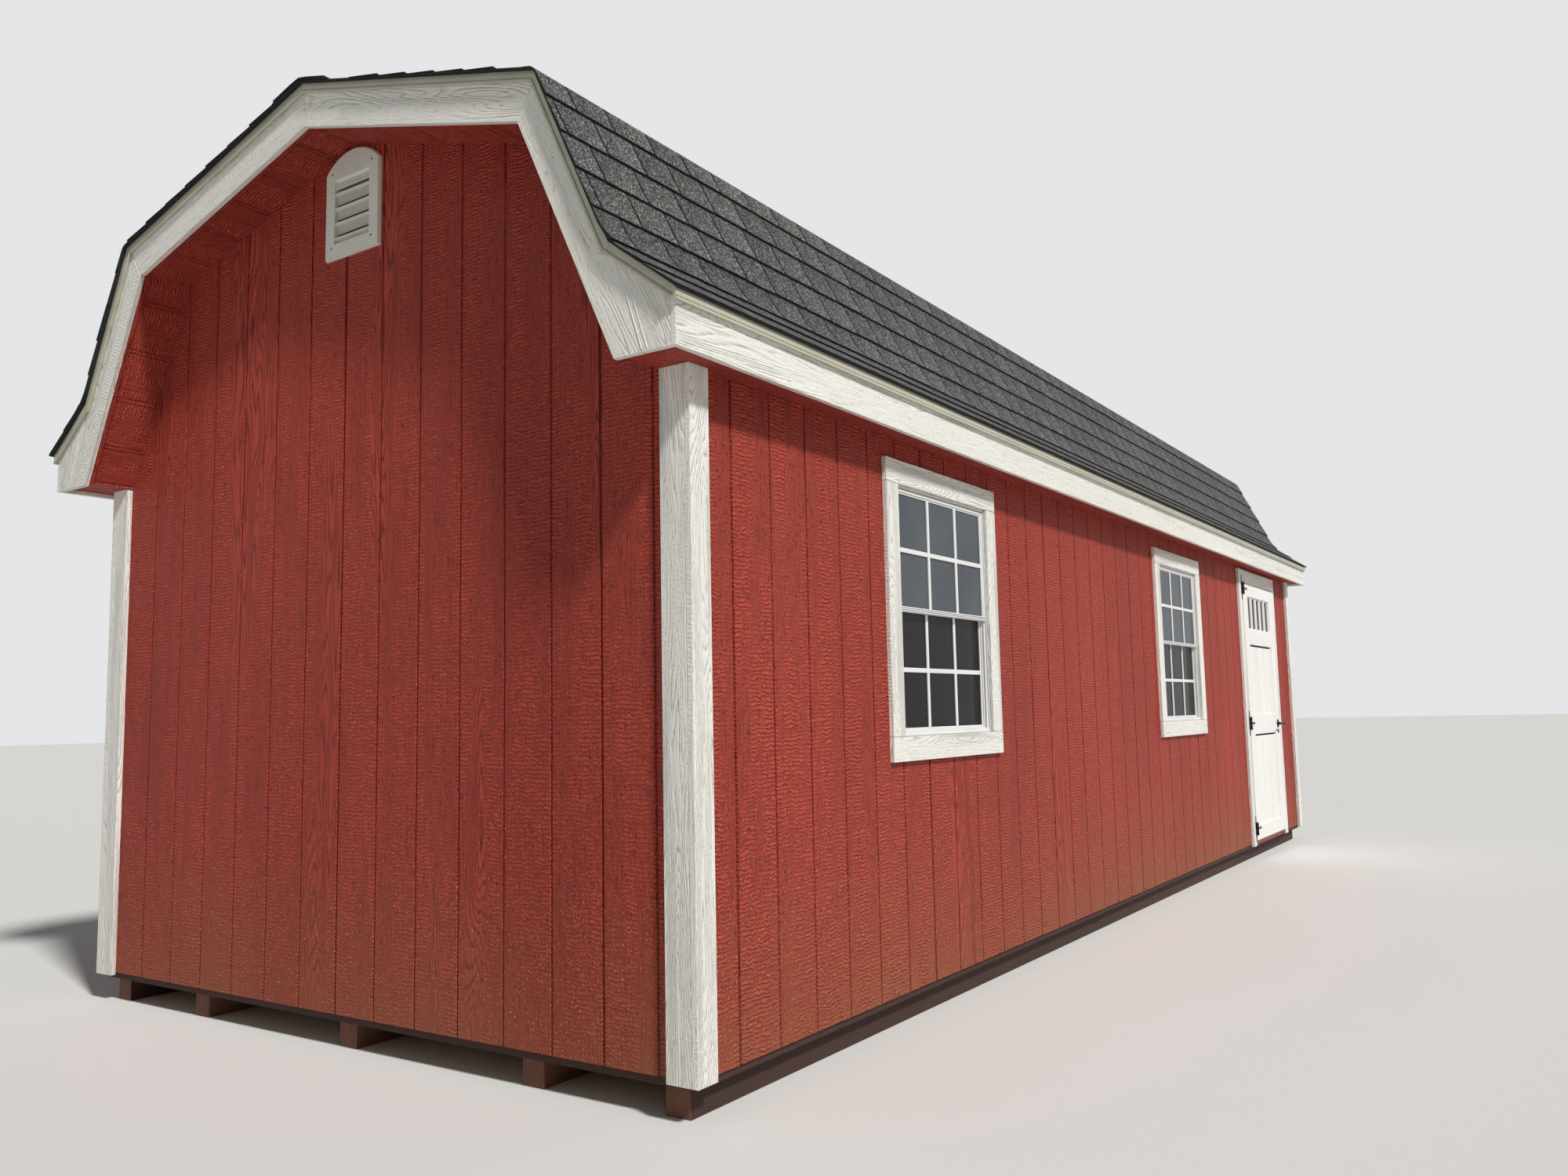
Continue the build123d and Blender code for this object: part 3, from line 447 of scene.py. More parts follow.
# Black rubber for the seals; the same material is painted shade in the door panels' recesses, behind the
# vent's louvres and along the window frames.
SEAL_AND_PAINTED_SHADE = black_crumb("rubber_seal_and_painted_shade")
DRIP = folded_metal()
BACKING = strand_board("panel_back", (0.50, 0.36, 0.20), (0.30, 0.19, 0.10))
DECKING = strand_board("deck_board", (0.60, 0.44, 0.25), (0.36, 0.24, 0.12))
SKID = bare_timber("treated_skid", (0.27, 0.115, 0.070), (0.105, 0.048, 0.032))
DARK_SKID = bare_timber("dark_skid", (0.085, 0.040, 0.030), (0.030, 0.016, 0.013))
PLANK = bare_timber("floor_plank", (0.50, 0.34, 0.19), (0.27, 0.165, 0.085))
SILL_RED = bare_timber("sill_red", (0.33, 0.075, 0.055), (0.17, 0.040, 0.030), 0.0006)
STUD_WOOD = framing_timber("stud_timber", (45, 45, 3))
PLATE_WOOD = framing_timber("plate_timber", (45, 3, 45))
RAFTER_WOOD = framing_timber("rafter_timber", (9, 45, 9))
IRON = black_iron()
METAL = brushed_metal()
# The windows' upper panes take a lighter blue-grey: a painted sky reflection.
GLASS = window_pane("window_glass", (0.019, 0.016, 0.016), (0.102, 0.117, 0.136))
DOOR_GLASS = window_pane("door_glass", (0.03, 0.03, 0.03), (0.034, 0.037, 0.041))


# Shapes
def facing(corners):
    """Direction a flat face looks, by its corners in turn."""
    total = Vector((0, 0, 0))
    for a, b in zip(corners, corners[1:] + corners[:1]):
        way = ((a.y - b.y) * (a.z + b.z), (a.z - b.z) * (a.x + b.x), (a.x - b.x) * (a.y + b.y))
        total += Vector(way)
    return total.normalized() if total.length > 1e-12 else Vector((0, 0, 1))


class Shape:
    """Collects one piece's faces, with a grain laid on each in metres."""

    def __init__(self, seed):
        self.dice = random.Random(seed)
        self.points, self.faces, self.grain, self.slots = [], [], [], []

    def add(self, points, faces, along=(0, 0, 1), slots=0, grain=None):
        start = len(self.points)
        points = [Vector(p) for p in points]
        self.points += points
        along = Vector(along).normalized()
        shift = (self.dice.uniform(0, 40), self.dice.uniform(0, 40))
        for k, face in enumerate(faces):
            self.faces.append([start + i for i in face])
            self.slots.append(slots if isinstance(slots, int) else slots[k])
            corners = [points[i] for i in face]
            self.grain.append(grain[k] if grain else self.laid(corners, along, shift))

    def laid(self, corners, along, shift):
        """A face's UV, its first axis along the grain."""
        normal = facing(corners)
        run = along
        if abs(normal.dot(along)) > 0.97:
            run = Vector((0, 0, 1)) if abs(normal.z) < 0.7 else Vector((1, 0, 0))
        across = normal.cross(run).normalized()
        return [(p.dot(run) + shift[0], p.dot(across) + shift[1]) for p in corners]

    def prism(self, outline, sweep, along=(0, 0, 1), slots=0):
        """A flat outline drawn out along a vector."""
        outline, sweep = [Vector(p) for p in outline], Vector(sweep)
        if facing(outline).dot(sweep) < 0:
            outline.reverse()
        n = len(outline)
        faces = [tuple(reversed(range(n))), tuple(range(n, 2 * n))]
        faces += [(i, (i + 1) % n, n + (i + 1) % n, n + i) for i in range(n)]
        self.add(outline + [p + sweep for p in outline], faces, along, slots)

    def box(self, low, high, along=(0, 0, 1), slots=0):
        (x0, y0, z0), (x1, y1, z1) = [tuple(map(f, low, high)) for f in (min, max)]
        outline = [(x0, y0, z0), (x1, y0, z0), (x1, y1, z0), (x0, y1, z0)]
        self.prism(outline, (0, 0, z1 - z0), along, slots)

    def tube(self, points, count, along):
        """Closes rings of places, each as long as the count, into one shape."""
        last = len(points) - count
        faces = [tuple(reversed(range(count)))]
        for start in range(0, last, count):
            for k in range(count):
                a, b = start + k, start + (k + 1) % count
                faces.append((a, b, b + count, a + count))
        faces.append(tuple(range(last, last + count)))
        self.add(points, faces, along)

    def lathe(self, centre, axis, rings, count=20):
        """A turned shape: pairs of distance along the axis and radius."""
        axis, centre = Vector(axis).normalized(), Vector(centre)
        side = axis.orthogonal().normalized()
        other = axis.cross(side)
        points = []
        for reach, radius in rings:
            for k in range(count):
                turn = 2 * math.pi * k / count
                spoke = side * math.cos(turn) + other * math.sin(turn)
                points.append(centre + axis * reach + spoke * radius)
        self.tube(points, count, axis)

    def bar(self, path, sections, count=12):
        """A bent bar: places along it, and two half sizes at each."""
        path = [Vector(p) for p in path]
        points = []
        for k, (point, (wide, high)) in enumerate(zip(path, sections)):
            ahead = (path[min(k + 1, len(path) - 1)] - path[max(k - 1, 0)]).normalized()
            up = (Vector((0, 0, 1)) - ahead * ahead.z).normalized()
            out = ahead.cross(up)
            for j in range(count):
                turn = 2 * math.pi * j / count
                points.append(point + out * wide * math.cos(turn) + up * high * math.sin(turn))
        self.tube(points, count, path[-1] - path[0])

    def head(self, centre, outward, radius, height, count=8):
        """A nail's or screw's round head, its edge turned down."""
        rings = [(-0.001, radius), (height * 0.5, radius), (height, radius * 0.62)]
        self.lathe(centre, outward, rings, count)

    def relief(self, ts, zs, place, depth, thick, along=(0, 0, 1), back=0, keep=None):
        """A panel with a worked face, ruled off in cells, some of them left out.

        Its place is given by the two rulings and a depth behind the face; back is its slot there.
        """
        points, index = [], {}

        def corner(i, j, behind):
            point = place(ts[i], zs[j], thick if behind else depth(ts[i], zs[j]))
            key = tuple(round(c, 5) for c in point)
            if key not in index:
                index[key] = len(points)
                points.append(point)
            return index[key]

        def kept(i, j):
            if not (0 <= i < len(ts) - 1 and 0 <= j < len(zs) - 1):
                return False
            if keep and not keep((ts[i] + ts[i + 1]) / 2, (zs[j] + zs[j + 1]) / 2):
                return False
            return any(corner(k, j, False) != corner(k, j + 1, False) for k in (i, i + 1))

        faces, slots = [], []

        def face(ring, slot):
            ring = [p for k, p in enumerate(ring) if p != ring[k - 1]]
            if len(set(ring)) > 2:
                faces.append(ring)
                slots.append(slot)

        def cell(i, j):
            ring = [(i, j), (i + 1, j), (i + 1, j + 1), (i, j + 1)]
            face([corner(*c, False) for c in ring], 0)
            face([corner(*c, True) for c in reversed(ring)], back)
            for k, (di, dj) in enumerate(((0, -1), (1, 0), (0, 1), (-1, 0))):
                if not kept(i + di, j + dj):
                    a, b = ring[k], ring[(k + 1) % 4]
                    ends = ((a, False), (a, True), (b, True), (b, False))
                    face([corner(*c, behind) for c, behind in ends], 0)

        for i in range(len(ts) - 1):
            for j in range(len(zs) - 1):
                if kept(i, j):
                    cell(i, j)
        self.add(points, faces, along, slots)

    def piece(self, name, looks, slot, body="garage", replaces=(), bevel=0.0, smooth=0):
        mesh = bpy.data.meshes.new(name)
        mesh.from_pydata(self.points, [], self.faces)
        for look in looks:
            mesh.materials.append(look)
        mesh.polygons.foreach_set("material_index", self.slots)
        layer = mesh.uv_layers.new(name="Grain")
        layer.data.foreach_set("uv", [c for ring in self.grain for uv in ring for c in uv])
        work = bmesh.new()
        work.from_mesh(mesh)
        bmesh.ops.recalc_face_normals(work, faces=work.faces)
        work.to_mesh(mesh)
        work.free()
        made = bpy.data.objects.new(name, mesh)
        scene.collection.objects.link(made)
        if smooth:
            mesh.shade_smooth()
            mesh.set_sharp_from_angle(angle=math.radians(smooth))
        if bevel:
            edge = made.modifiers.new("edge", "BEVEL")
            edge.width = bevel
            edge.segments = 2
            edge.limit_method = "ANGLE"
            edge.angle_limit = math.radians(35)
        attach(made, body)
        if replaces:
            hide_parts(*replaces)

    def stand_in(self, node, looks, slot, body="garage", **edges):
        """The piece that stands in for one solid."""
        self.piece("look_" + node, looks, slot, body, [node], **edges)


def dress(node, look):
    """Gives a solid that shows as it is its material."""
    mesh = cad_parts[node].data
    mesh.materials.clear()
    mesh.materials.append(look)
    for polygon in mesh.polygons:
        polygon.material_index = 0


# Nails: all of them are one piece, drawn in as their boards are made
nails = Shape("nails")
NAIL_HEAD = 0.0005
SMALL_NAIL, BIG_NAIL = 0.0032, 0.0034
# How far in from a board's edge, or from its end, nails are driven
NAIL_INSETS, CORNER_INSETS = (0.016, 0.073), (0.018, 0.066)
TRIM_MIDDLE, WINDOW_NAIL_END = 0.045, 0.05


def spaced(start, step, count):
    return [start + k * step for k in range(count)]


def nail(place, outward, radius=SMALL_NAIL):
    nails.head(place, outward, radius, NAIL_HEAD)


GROOVE_PITCH = 0.2032
NEAR_GROOVE_X = -0.0279
WALL_GROOVE_Y = -3.7625
# Grooves across a panel: half the width at the face, how far the flank leans, and the depth
WALL_GROOVE = (0.0048, 0.0009, 0.0050)
GABLE_GROOVE = (0.0054, 0.0014, 0.0058)
SHEET_GROOVE = (0.0062, 0.0009, 0.0078)
SOFFIT_GROOVE = (0.0028, 0.0016, 0.0032)
PLANK_GROOVE = (0.0050, 0.0012, 0.0062)
GROOVES_A_SHEET = 6
PLAIN_END = 0.02


def groove(middle, half, flank, deep):
    """Places across one groove, each with the face's depth there."""
    left, right = middle - half, middle + half
    return [(left, 0.0), (left + flank, deep), (right - flank, deep), (right, 0.0)]


def grooves(first, low, high, plain):
    """Grooves between two ends, with a wider one where two sheets meet."""
    rows = []
    k = math.ceil((low + PLAIN_END - first) / GROOVE_PITCH)
    while first + k * GROOVE_PITCH < high - PLAIN_END:
        sizes = plain if k % GROOVES_A_SHEET else SHEET_GROOVE
        rows += groove(first + k * GROOVE_PITCH, *sizes)
        k += 1
    return rows


def depth_along(rows):
    def depth(t, z=0.0):
        for (a, da), (b, db) in zip(rows, rows[1:]):
            if a - 1e-7 <= t <= b + 1e-7 and (da or db):
                return da + (db - da) * (t - a) / (b - a)
        return 0.0

    return depth


def rulings(low, high, rows, extra=()):
    inside = [t for t, _ in rows] + [t for t in extra if low < t < high]
    return sorted({round(t, 6) for t in [low, high] + inside})


# Siding
KNUCKLE_UNDER = corner_at(UPPER, DECK_THICK, STEEP, DECK_THICK)
KICK_UNDER = corner_at(STEEP, DECK_THICK, KICK, DECK_THICK)
# A level over the roof, where a gable panel is cut to the deck's underside
OVER_ROOF = 4.0


def siding_panel(node, ends, levels, rows, place, openings, bends=()):
    """A grooved panel with its openings left out."""
    cuts, levels = [*bends], {*levels}
    for t0, t1, z0, z1 in openings:
        cuts += [t0, t1]
        levels |= {z0, z1}

    def keep(t, z):
        return not any(t0 < t < t1 and z0 < z < z1 for t0, t1, z0, z1 in openings)

    shape = Shape(node)
    ts = rulings(*ends, rows, cuts)
    shape.relief(ts, sorted(levels), place, depth_along(rows), SIDING_THICK, back=1, keep=keep)
    shape.stand_in(node, [SIDING, BACKING], "siding")


def wall_panel(node, side, low, high, bottom, openings):
    def place(t, z, depth):
        return Vector((side * (HALF_WIDTH - depth), t, z))

    rows = grooves(WALL_GROOVE_Y, low, high, WALL_GROOVE)
    siding_panel(node, (low, high), (bottom, WALL_TOP), rows, place, openings)


def long_walls():
    windows = [(y - WINDOW_HALF, y + WINDOW_HALF, WINDOW_LOW, WINDOW_HIGH) for y in WINDOW_ROWS]
    wall_panel("left_wall_siding", -1, -INNER_END, INNER_END, SIDING_BOTTOM, windows)
    wall_panel("right_wall_siding", 1, -INNER_END, DOORWAY_NEAR, SIDING_BOTTOM, windows)
    wall_panel("right_wall_end_siding", 1, DOORWAY_FAR, INNER_END, SIDING_BOTTOM, [])
    wall_panel("siding_over_door", 1, DOORWAY_NEAR, DOORWAY_FAR, DOORWAY_HIGH, [])


def gable_top(x):
    """Height of the deck's underside."""
    x = abs(x)
    slope = UPPER if x <= KNUCKLE_UNDER else STEEP if x <= KICK_UNDER else KICK
    return height_at(slope, x, DECK_THICK)


def gable_panel(node, end, openings):
    def place(t, z, depth):
        return Vector((t, end * (HALF_LENGTH - depth), min(z, gable_top(t))))

    centre = -end * VENT_OFFSET
    throat = (centre - THROAT_HALF, centre + THROAT_HALF, THROAT_LOW, THROAT_HIGH)
    rows = grooves(-end * NEAR_GROOVE_X, -HALF_WIDTH, HALF_WIDTH, GABLE_GROOVE)
    bends = [0, KNUCKLE_UNDER, -KNUCKLE_UNDER, KICK_UNDER, -KICK_UNDER]
    ends, levels = (-HALF_WIDTH, HALF_WIDTH), (SIDING_BOTTOM, OVER_ROOF)
    siding_panel(node, ends, levels, rows, place, [throat, *openings], bends)


# Gable vents: sizes, taken from the solid
vent_low, vent_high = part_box("gable_vents")
VENT_HALF = 0.150
VENT_OFFSET = vent_high.x - VENT_HALF
VENT_BOTTOM, VENT_TOP = vent_low.z, vent_high.z
VENT_RISE = 0.066
THROAT_HALF = 0.098
THROAT_LOW, THROAT_HIGH = VENT_BOTTOM + 0.054, VENT_TOP - 0.093

long_walls()
gable_panel("near_gable_siding", -1, [])
gable_panel("far_gable_siding", 1, [(-VEHICLE_HALF, VEHICLE_HALF, SIDING_BOTTOM, VEHICLE_HIGH)])


# Corner boards
CORNER_LOW, CORNER_HIGH = 0.104, 2.085


def corner_boards():
    """Two boards at each corner, one past the other, nailed in pairs."""
    shape = Shape("corner")
    for side, end in CORNERS:
        x, y = side * (HALF_WIDTH + CORNER_THICK), end * (HALF_LENGTH + CORNER_THICK)
        inner = (x, y - end * TRIM_WIDTH, CORNER_HIGH)
        shape.box((side * HALF_WIDTH, y, CORNER_LOW), inner)
        shape.box(
            (side * (HALF_WIDTH - SEAM), end * HALF_LENGTH, CORNER_LOW),
            (side * (HALF_WIDTH - TRIM_WIDTH), y, CORNER_HIGH),
        )
        for z in spaced(0.2, 0.44, 5):
            for inset in CORNER_INSETS:
                nail((x, y - end * inset, z), (side, 0, 0))
                nail((side * (HALF_WIDTH - inset), y, z + 0.03), (0, end, 0))
    shape.stand_in("corner_boards", [TRIM], "trim", bevel=0.0022)


corner_boards()

# Rake boards with mitres, and the filler at each kick
UPPER_RAKE, STEEP_RAKE = 0.148, 0.136
FASCIA_LOW = 2.070
FASCIA_BACK = 1.627
MITRE = 0.0006
KNUCKLE_LOW = corner_at(UPPER, UPPER_RAKE, STEEP, STEEP_RAKE)
KNUCKLE_TOP = corner_at(UPPER, 0, STEEP, 0)
KICK_TOP = corner_at(STEEP, 0, KICK, 0)
JOINT_FOOT = 1.527
JOINT_GAP = 0.0011
# Beads of caulk: their half sizes, and where they run down the joint, the peak and the knuckle
BEAD, THIN_BEAD = (0.0014, 0.0022), (0.0014, 0.0020)
BEAD_STARTS, BEAD_STOP = ((0.048, 0.0), (0.120, 0.019)), 0.338
PEAK_BEAD = (3.275, 3.172)
KNUCKLE_BEAD = ((1.121, 2.962), (KNUCKLE_LOW + 0.004, 2.868))
BOARD_EDGE = 0.0020
caulk = Shape("caulk")


def rake_outlines():
    """Outlines in x and z of the upper board, the steep one and the filler, with their slopes."""
    upper = band(UPPER, (0, UPPER_RAKE), (MITRE, MITRE), (KNUCKLE_TOP - 0.001, KNUCKLE_LOW - 0.001))
    steep = [
        under(STEEP, KNUCKLE_TOP + MITRE),
        under(STEEP, KICK_TOP - MITRE),
        (JOINT_FOOT - JOINT_GAP, FASCIA_LOW),
        (reach_at(STEEP, FASCIA_LOW, STEEP_RAKE), FASCIA_LOW),
        under(STEEP, KNUCKLE_LOW + MITRE, STEEP_RAKE),
    ]
    filler = [
        under(KICK, KICK_TOP + JOINT_GAP),
        (JOINT_FOOT + JOINT_GAP, FASCIA_LOW),
        (FASCIA_BACK, FASCIA_LOW),
        under(KICK, FASCIA_BACK),
    ]
    return (upper, UPPER), (steep, STEEP), (filler, STEEP)


def rake_caulk(side, end):
    """Beads along the filler's joint, at the peak and at the knuckle."""
    face = end * RAKE_FACE
    drop = Vector((side * (JOINT_FOOT - KICK_TOP), 0, FASCIA_LOW - BEND[1])).normalized()
    top = Vector((side * (KICK_TOP + 0.004), face, BEND[1] - 0.005))
    for start, shift in BEAD_STARTS:
        ends = [top + drop * run + Vector((side * shift, 0, 0)) for run in (start, BEAD_STOP)]
        caulk.bar(ends, [BEAD] * 2, 8)
    if side > 0:
        caulk.bar([(0, face, z) for z in PEAK_BEAD], [THIN_BEAD] * 2, 8)
    caulk.bar(section(KNUCKLE_BEAD, side, face), [THIN_BEAD] * 2, 8)


def rake_nails(side, end, slope, deeps, runs):
    for run in runs:
        for deep in deeps:
            x = slope[0] + run * math.cos(slope[2]) - deep * math.sin(slope[2])
            nail((side * x, end * RAKE_FACE, height_at(slope, x, deep)), (0, end, 0), BIG_NAIL)


def rake_boards():
    shape = Shape("rakes")
    for side, end in CORNERS:
        for outline, slope in rake_outlines():
            sweep = (0, end * (RAKE_FACE - RAKE_BACK), 0)
            shape.prism(section(outline, side, end * RAKE_BACK), sweep, fall(slope, side))
        rake_caulk(side, end)
        rake_nails(side, end, UPPER, (TRIM_MIDDLE, UPPER_RAKE - 0.02), spaced(0.12, 0.31, 4))
        rake_nails(side, end, STEEP, (TRIM_MIDDLE, STEEP_RAKE - 0.02), spaced(0.10, 0.40, 3))
    shape.stand_in("rake_boards", [TRIM], "trim", bevel=BOARD_EDGE)


# Fascias
FASCIA_HIGH = height_at(KICK, EAVE_X, DECK_THICK)
FASCIA_JOINT, HALF_JOINT = 0.62, 0.0007


def eave_fascias():
    """Two lengths a side, nailed in pairs."""
    shape = Shape("fascia")
    lengths = ((-RAKE_FACE, FASCIA_JOINT - HALF_JOINT), (FASCIA_JOINT + HALF_JOINT, RAKE_FACE))
    for side in SIDES:
        for low, high in lengths:
            back, face = (side * FASCIA_BACK, low, FASCIA_LOW), (side * EAVE_X, high, FASCIA_HIGH)
            shape.box(back, face, (0, 1, 0))
        for y in spaced(-4.0, 0.61, 14):
            for z in (FASCIA_LOW + 0.022, FASCIA_HIGH - 0.05):
                nail((side * EAVE_X, y, z), (side, 0, 0), BIG_NAIL)
    shape.stand_in("eave_fascias", [TRIM], "trim", bevel=BOARD_EDGE)


rake_boards()
eave_fascias()
caulk.piece("look_caulk_lines", [CAULK], "trim", smooth=60)

# Soffits
SOFFIT_LOW = 2.085
SOFFIT_THICK = 0.010
UPPER_SOFFIT, STEEP_SOFFIT = UPPER_RAKE - 0.015, STEEP_RAKE - 0.015
SOFFIT_TURN = corner_at(UPPER, UPPER_SOFFIT, STEEP, STEEP_SOFFIT)
SOFFIT_FOOT = reach_at(STEEP, WALL_TOP, STEEP_SOFFIT)
SOFFIT_SEAM = 0.0005


def eave_soffits():
    shape = Shape("eave_soffit")
    for side in SIDES:
        low = (side * HALF_WIDTH, -RAKE_BACK, SOFFIT_LOW)
        shape.box(low, (side * FASCIA_BACK, RAKE_BACK, WALL_TOP), (0, 1, 0))
    shape.stand_in("eave_soffits", [SIDING], "siding", bevel=0.0010)


def soffit_run(shape, slope, side, end, deep, start, stop):
    """Soffit down one slope, with grooves across it in pairs."""
    length = (stop - start) / math.cos(slope[2])
    rows, at = [], 0.10
    while at < length - 0.03:
        rows += groove(at, *SOFFIT_GROOVE) + groove(at + 0.017, *SOFFIT_GROOVE)
        at += GROOVE_PITCH
    down = fall(slope, side)
    out = Vector((-side * math.sin(slope[2]), 0, -math.cos(slope[2])))
    origin = Vector((side * start, 0, height_at(slope, start, deep)))

    def place(t, y, depth):
        return origin + down * t - out * depth + Vector((0, y, 0))

    ys = sorted((end * HALF_LENGTH, end * RAKE_BACK))
    shape.relief(rulings(0, length, rows), ys, place, depth_along(rows), SOFFIT_THICK, (0, 1, 0))


def gable_soffits():
    """Soffits under the gable's overhang, with a thin strip behind each rake board."""
    shape, strip = Shape("gable_soffit"), Shape("soffit_strip")
    for side, end in CORNERS:
        soffit_run(shape, UPPER, side, end, UPPER_SOFFIT, SOFFIT_SEAM, SOFFIT_TURN - SOFFIT_SEAM)
        soffit_run(shape, STEEP, side, end, STEEP_SOFFIT, SOFFIT_TURN + 0.0002, SOFFIT_FOOT - 0.001)
        foot = (side * SOFFIT_FOOT, end * HALF_LENGTH, SOFFIT_LOW)
        shape.box(foot, (side * HALF_WIDTH, end * RAKE_BACK, WALL_TOP), (1, 0, 0))
        for slope, deep, start, stop in (
            (UPPER, UPPER_SOFFIT, SOFFIT_SEAM, SOFFIT_TURN - 0.003),
            (STEEP, STEEP_SOFFIT, SOFFIT_TURN - 0.002, SOFFIT_FOOT - 0.004),
        ):
            outline = band(slope, (deep + 0.0002, deep + 0.0095), (start, start), (stop, stop))
            outline = section(outline, side, end * (RAKE_BACK - SOFFIT_SEAM))
            strip.prism(outline, (0, -end * 0.0175, 0), fall(slope, side))
    shape.stand_in("gable_soffits", [SIDING], "siding")
    strip.piece("look_soffit_strips", [SIDING], "siding", bevel=0.0008)


eave_soffits()
gable_soffits()

# Shingles: courses of tabs down the roof's line, rounded at the knuckle and at the kick
EXPOSURE = 0.1415
TAB = 0.183
SLOT_WIDTH = 0.0072
TAB_THICK, FIRST_TAB_THICK, TAB_HEAD = 0.0112, 0.0096, 0.0049
SHEET_THICK = 0.0044
BASE_LIFT = (0.0042, 0.0004)
# Which corner is rounded, how far to each side of it, and in how many steps
KNUCKLE_ROUND, KICK_ROUND = (1, 0.019, 5), (2, 0.080, 10)
dice = random.Random(20)


def roof_line():
    """Places down one side of the deck's top, and their distances from the peak."""
    corners = [Vector(p) for p in (PEAK, KNUCKLE, BEND, under(KICK, SHINGLE_X - 0.0066))]
    line = [corners[0]]
    for k, run, steps in (KNUCKLE_ROUND, KICK_ROUND):
        here = corners[k]
        before = (corners[k - 1] - here).normalized()
        after = (corners[k + 1] - here).normalized()
        for j in range(steps + 1):
            t = j / steps
            line.append(here + before * run * (1 - t) ** 2 + after * run * t**2)
    line.append(corners[-1])
    distances = [0.0]
    for a, b in zip(line, line[1:]):
        distances.append(distances[-1] + (b - a).length)
    return line, distances


LINE, DISTANCES = roof_line()
ROOF_RUN = DISTANCES[-1]


def outward(k):
    """The way out of the roof at one of the line's places."""
    before = LINE[k] - LINE[k - 1] if k > 0 else LINE[1] - LINE[0]
    after = LINE[k + 1] - LINE[k] if k < len(LINE) - 1 else LINE[-1] - LINE[-2]
    way = before.normalized() + after.normalized()
    return Vector((-way.y, way.x)).normalized()


def on_roof(s, lift):
    """Place at a distance down the roof's line, lifted off the deck."""
    s = max(0.0, min(ROOF_RUN, s))
    k = 0
    while k < len(DISTANCES) - 2 and DISTANCES[k + 1] < s:
        k += 1
    t = (s - DISTANCES[k]) / (DISTANCES[k + 1] - DISTANCES[k])
    return LINE[k].lerp(LINE[k + 1], t) + outward(k).lerp(outward(k + 1), t).normalized() * lift


def stations(start, stop):
    """Distances from one to another, with those between where the line bends."""
    return [start, *[d for d in DISTANCES if start + 0.004 < d < stop - 0.004], stop]


def ribbon(shape, rows, uv, slots=(0, 1)):
    """A thin strip: rows of four places, the top's two edges and then the bottom's.

    Its UV is given by the row and the edge; its slots are the top's and the rest's.
    """
    top, rest = slots
    faces, kinds = [], []
    last = 4 * (len(rows) - 1)
    for a in range(0, last, 4):
        faces += [(a, a + 4, a + 5, a + 1), (a + 2, a + 3, a + 7, a + 6)]
        faces += [(a, a + 2, a + 6, a + 4), (a + 1, a + 5, a + 7, a + 3)]
        kinds += [top, rest, rest, rest]
    faces += [(a, a + 1, a + 3, a + 2) for a in (0, last)]
    kinds += [rest, rest]
    grain = [[uv(p // 4, p % 2) for p in ring] for ring in faces]
    shape.add([p for row in rows for p in row], faces, slots=kinds, grain=grain)


def roofing(shape, side, y0, y1, rows, slots=(0, 1)):
    """A strip of roofing between two ends: rows of distance, top and bottom lift."""
    places = []
    for s, *lifts in rows:
        spots = [on_roof(s, lift) for lift in lifts]
        places.append([Vector((side * spot.x, side * y, spot.y)) for spot in spots for y in (y0, y1)])
    first, last = rows[0][0], rows[-1][0]
    number = 2 * shape.dice.randrange(400)

    def uv(k, edge):
        return number + 0.05 + 0.9 * edge, 1.0 - (rows[k][0] - first) / (last - first)

    ribbon(shape, places, uv, slots)


def shingle_tab(shape, side, y0, y1, course):
    """One tab, its top sloping up to its butt, its butt a little out of line."""
    butt = ROOF_RUN - course * EXPOSURE
    thick = TAB_THICK if course else FIRST_TAB_THICK
    lift = dice.uniform(-0.0002, 0.0003)
    sag = dice.uniform(-0.0022, 0.0022)
    if course == 0:
        sag = min(sag, 0)
    rows = []
    for s in stations(max(0.004, butt - EXPOSURE - 0.012), butt + sag):
        top = thick + lift - (thick - TAB_HEAD) * (butt - s) / EXPOSURE
        rows.append((s, top, max(0.0043, top - SHEET_THICK)))
    roofing(shape, side, y0, y1, rows)


def shingle_course(shape, side, course):
    """Tabs along one course, each course half a tab from the last."""
    edge = SHINGLE_END - dice.uniform(0.0, 0.005)
    y = -edge - dice.uniform(0.2, 0.9) * TAB * 0.5 - (TAB * 0.5 if course % 2 else 0)
    while y < edge:
        width = TAB * dice.uniform(0.93, 1.07)
        y0, y1 = max(y, -edge), min(y + width - SLOT_WIDTH, edge)
        y += width
        if y1 - y0 >= 0.02:
            shingle_tab(shape, side, y0, y1, course)


def roof_shingles():
    shape = Shape("shingles")
    for side in SIDES:
        base = [(s, *BASE_LIFT) for s in stations(0.0, ROOF_RUN)]
        reach = SHINGLE_END - 0.004
        roofing(shape, side, -reach, reach, base, (1, 1))
        course = 0
        while ROOF_RUN - (course + 0.35) * EXPOSURE > 0.03:
            shingle_course(shape, side, course)
            course += 1
    shape.stand_in("roof_shingles", [SHINGLE, ASPHALT], "shingle")


# Ridge cap: folded sheets, each lapping the one before
CAP_REACH = 0.148
CAP_BEND, CAP_DIP = 0.045, 0.0030
CAP_NEAR, CAP_FAR = 0.0158, 0.0118
CAP_SHEET = 0.0042


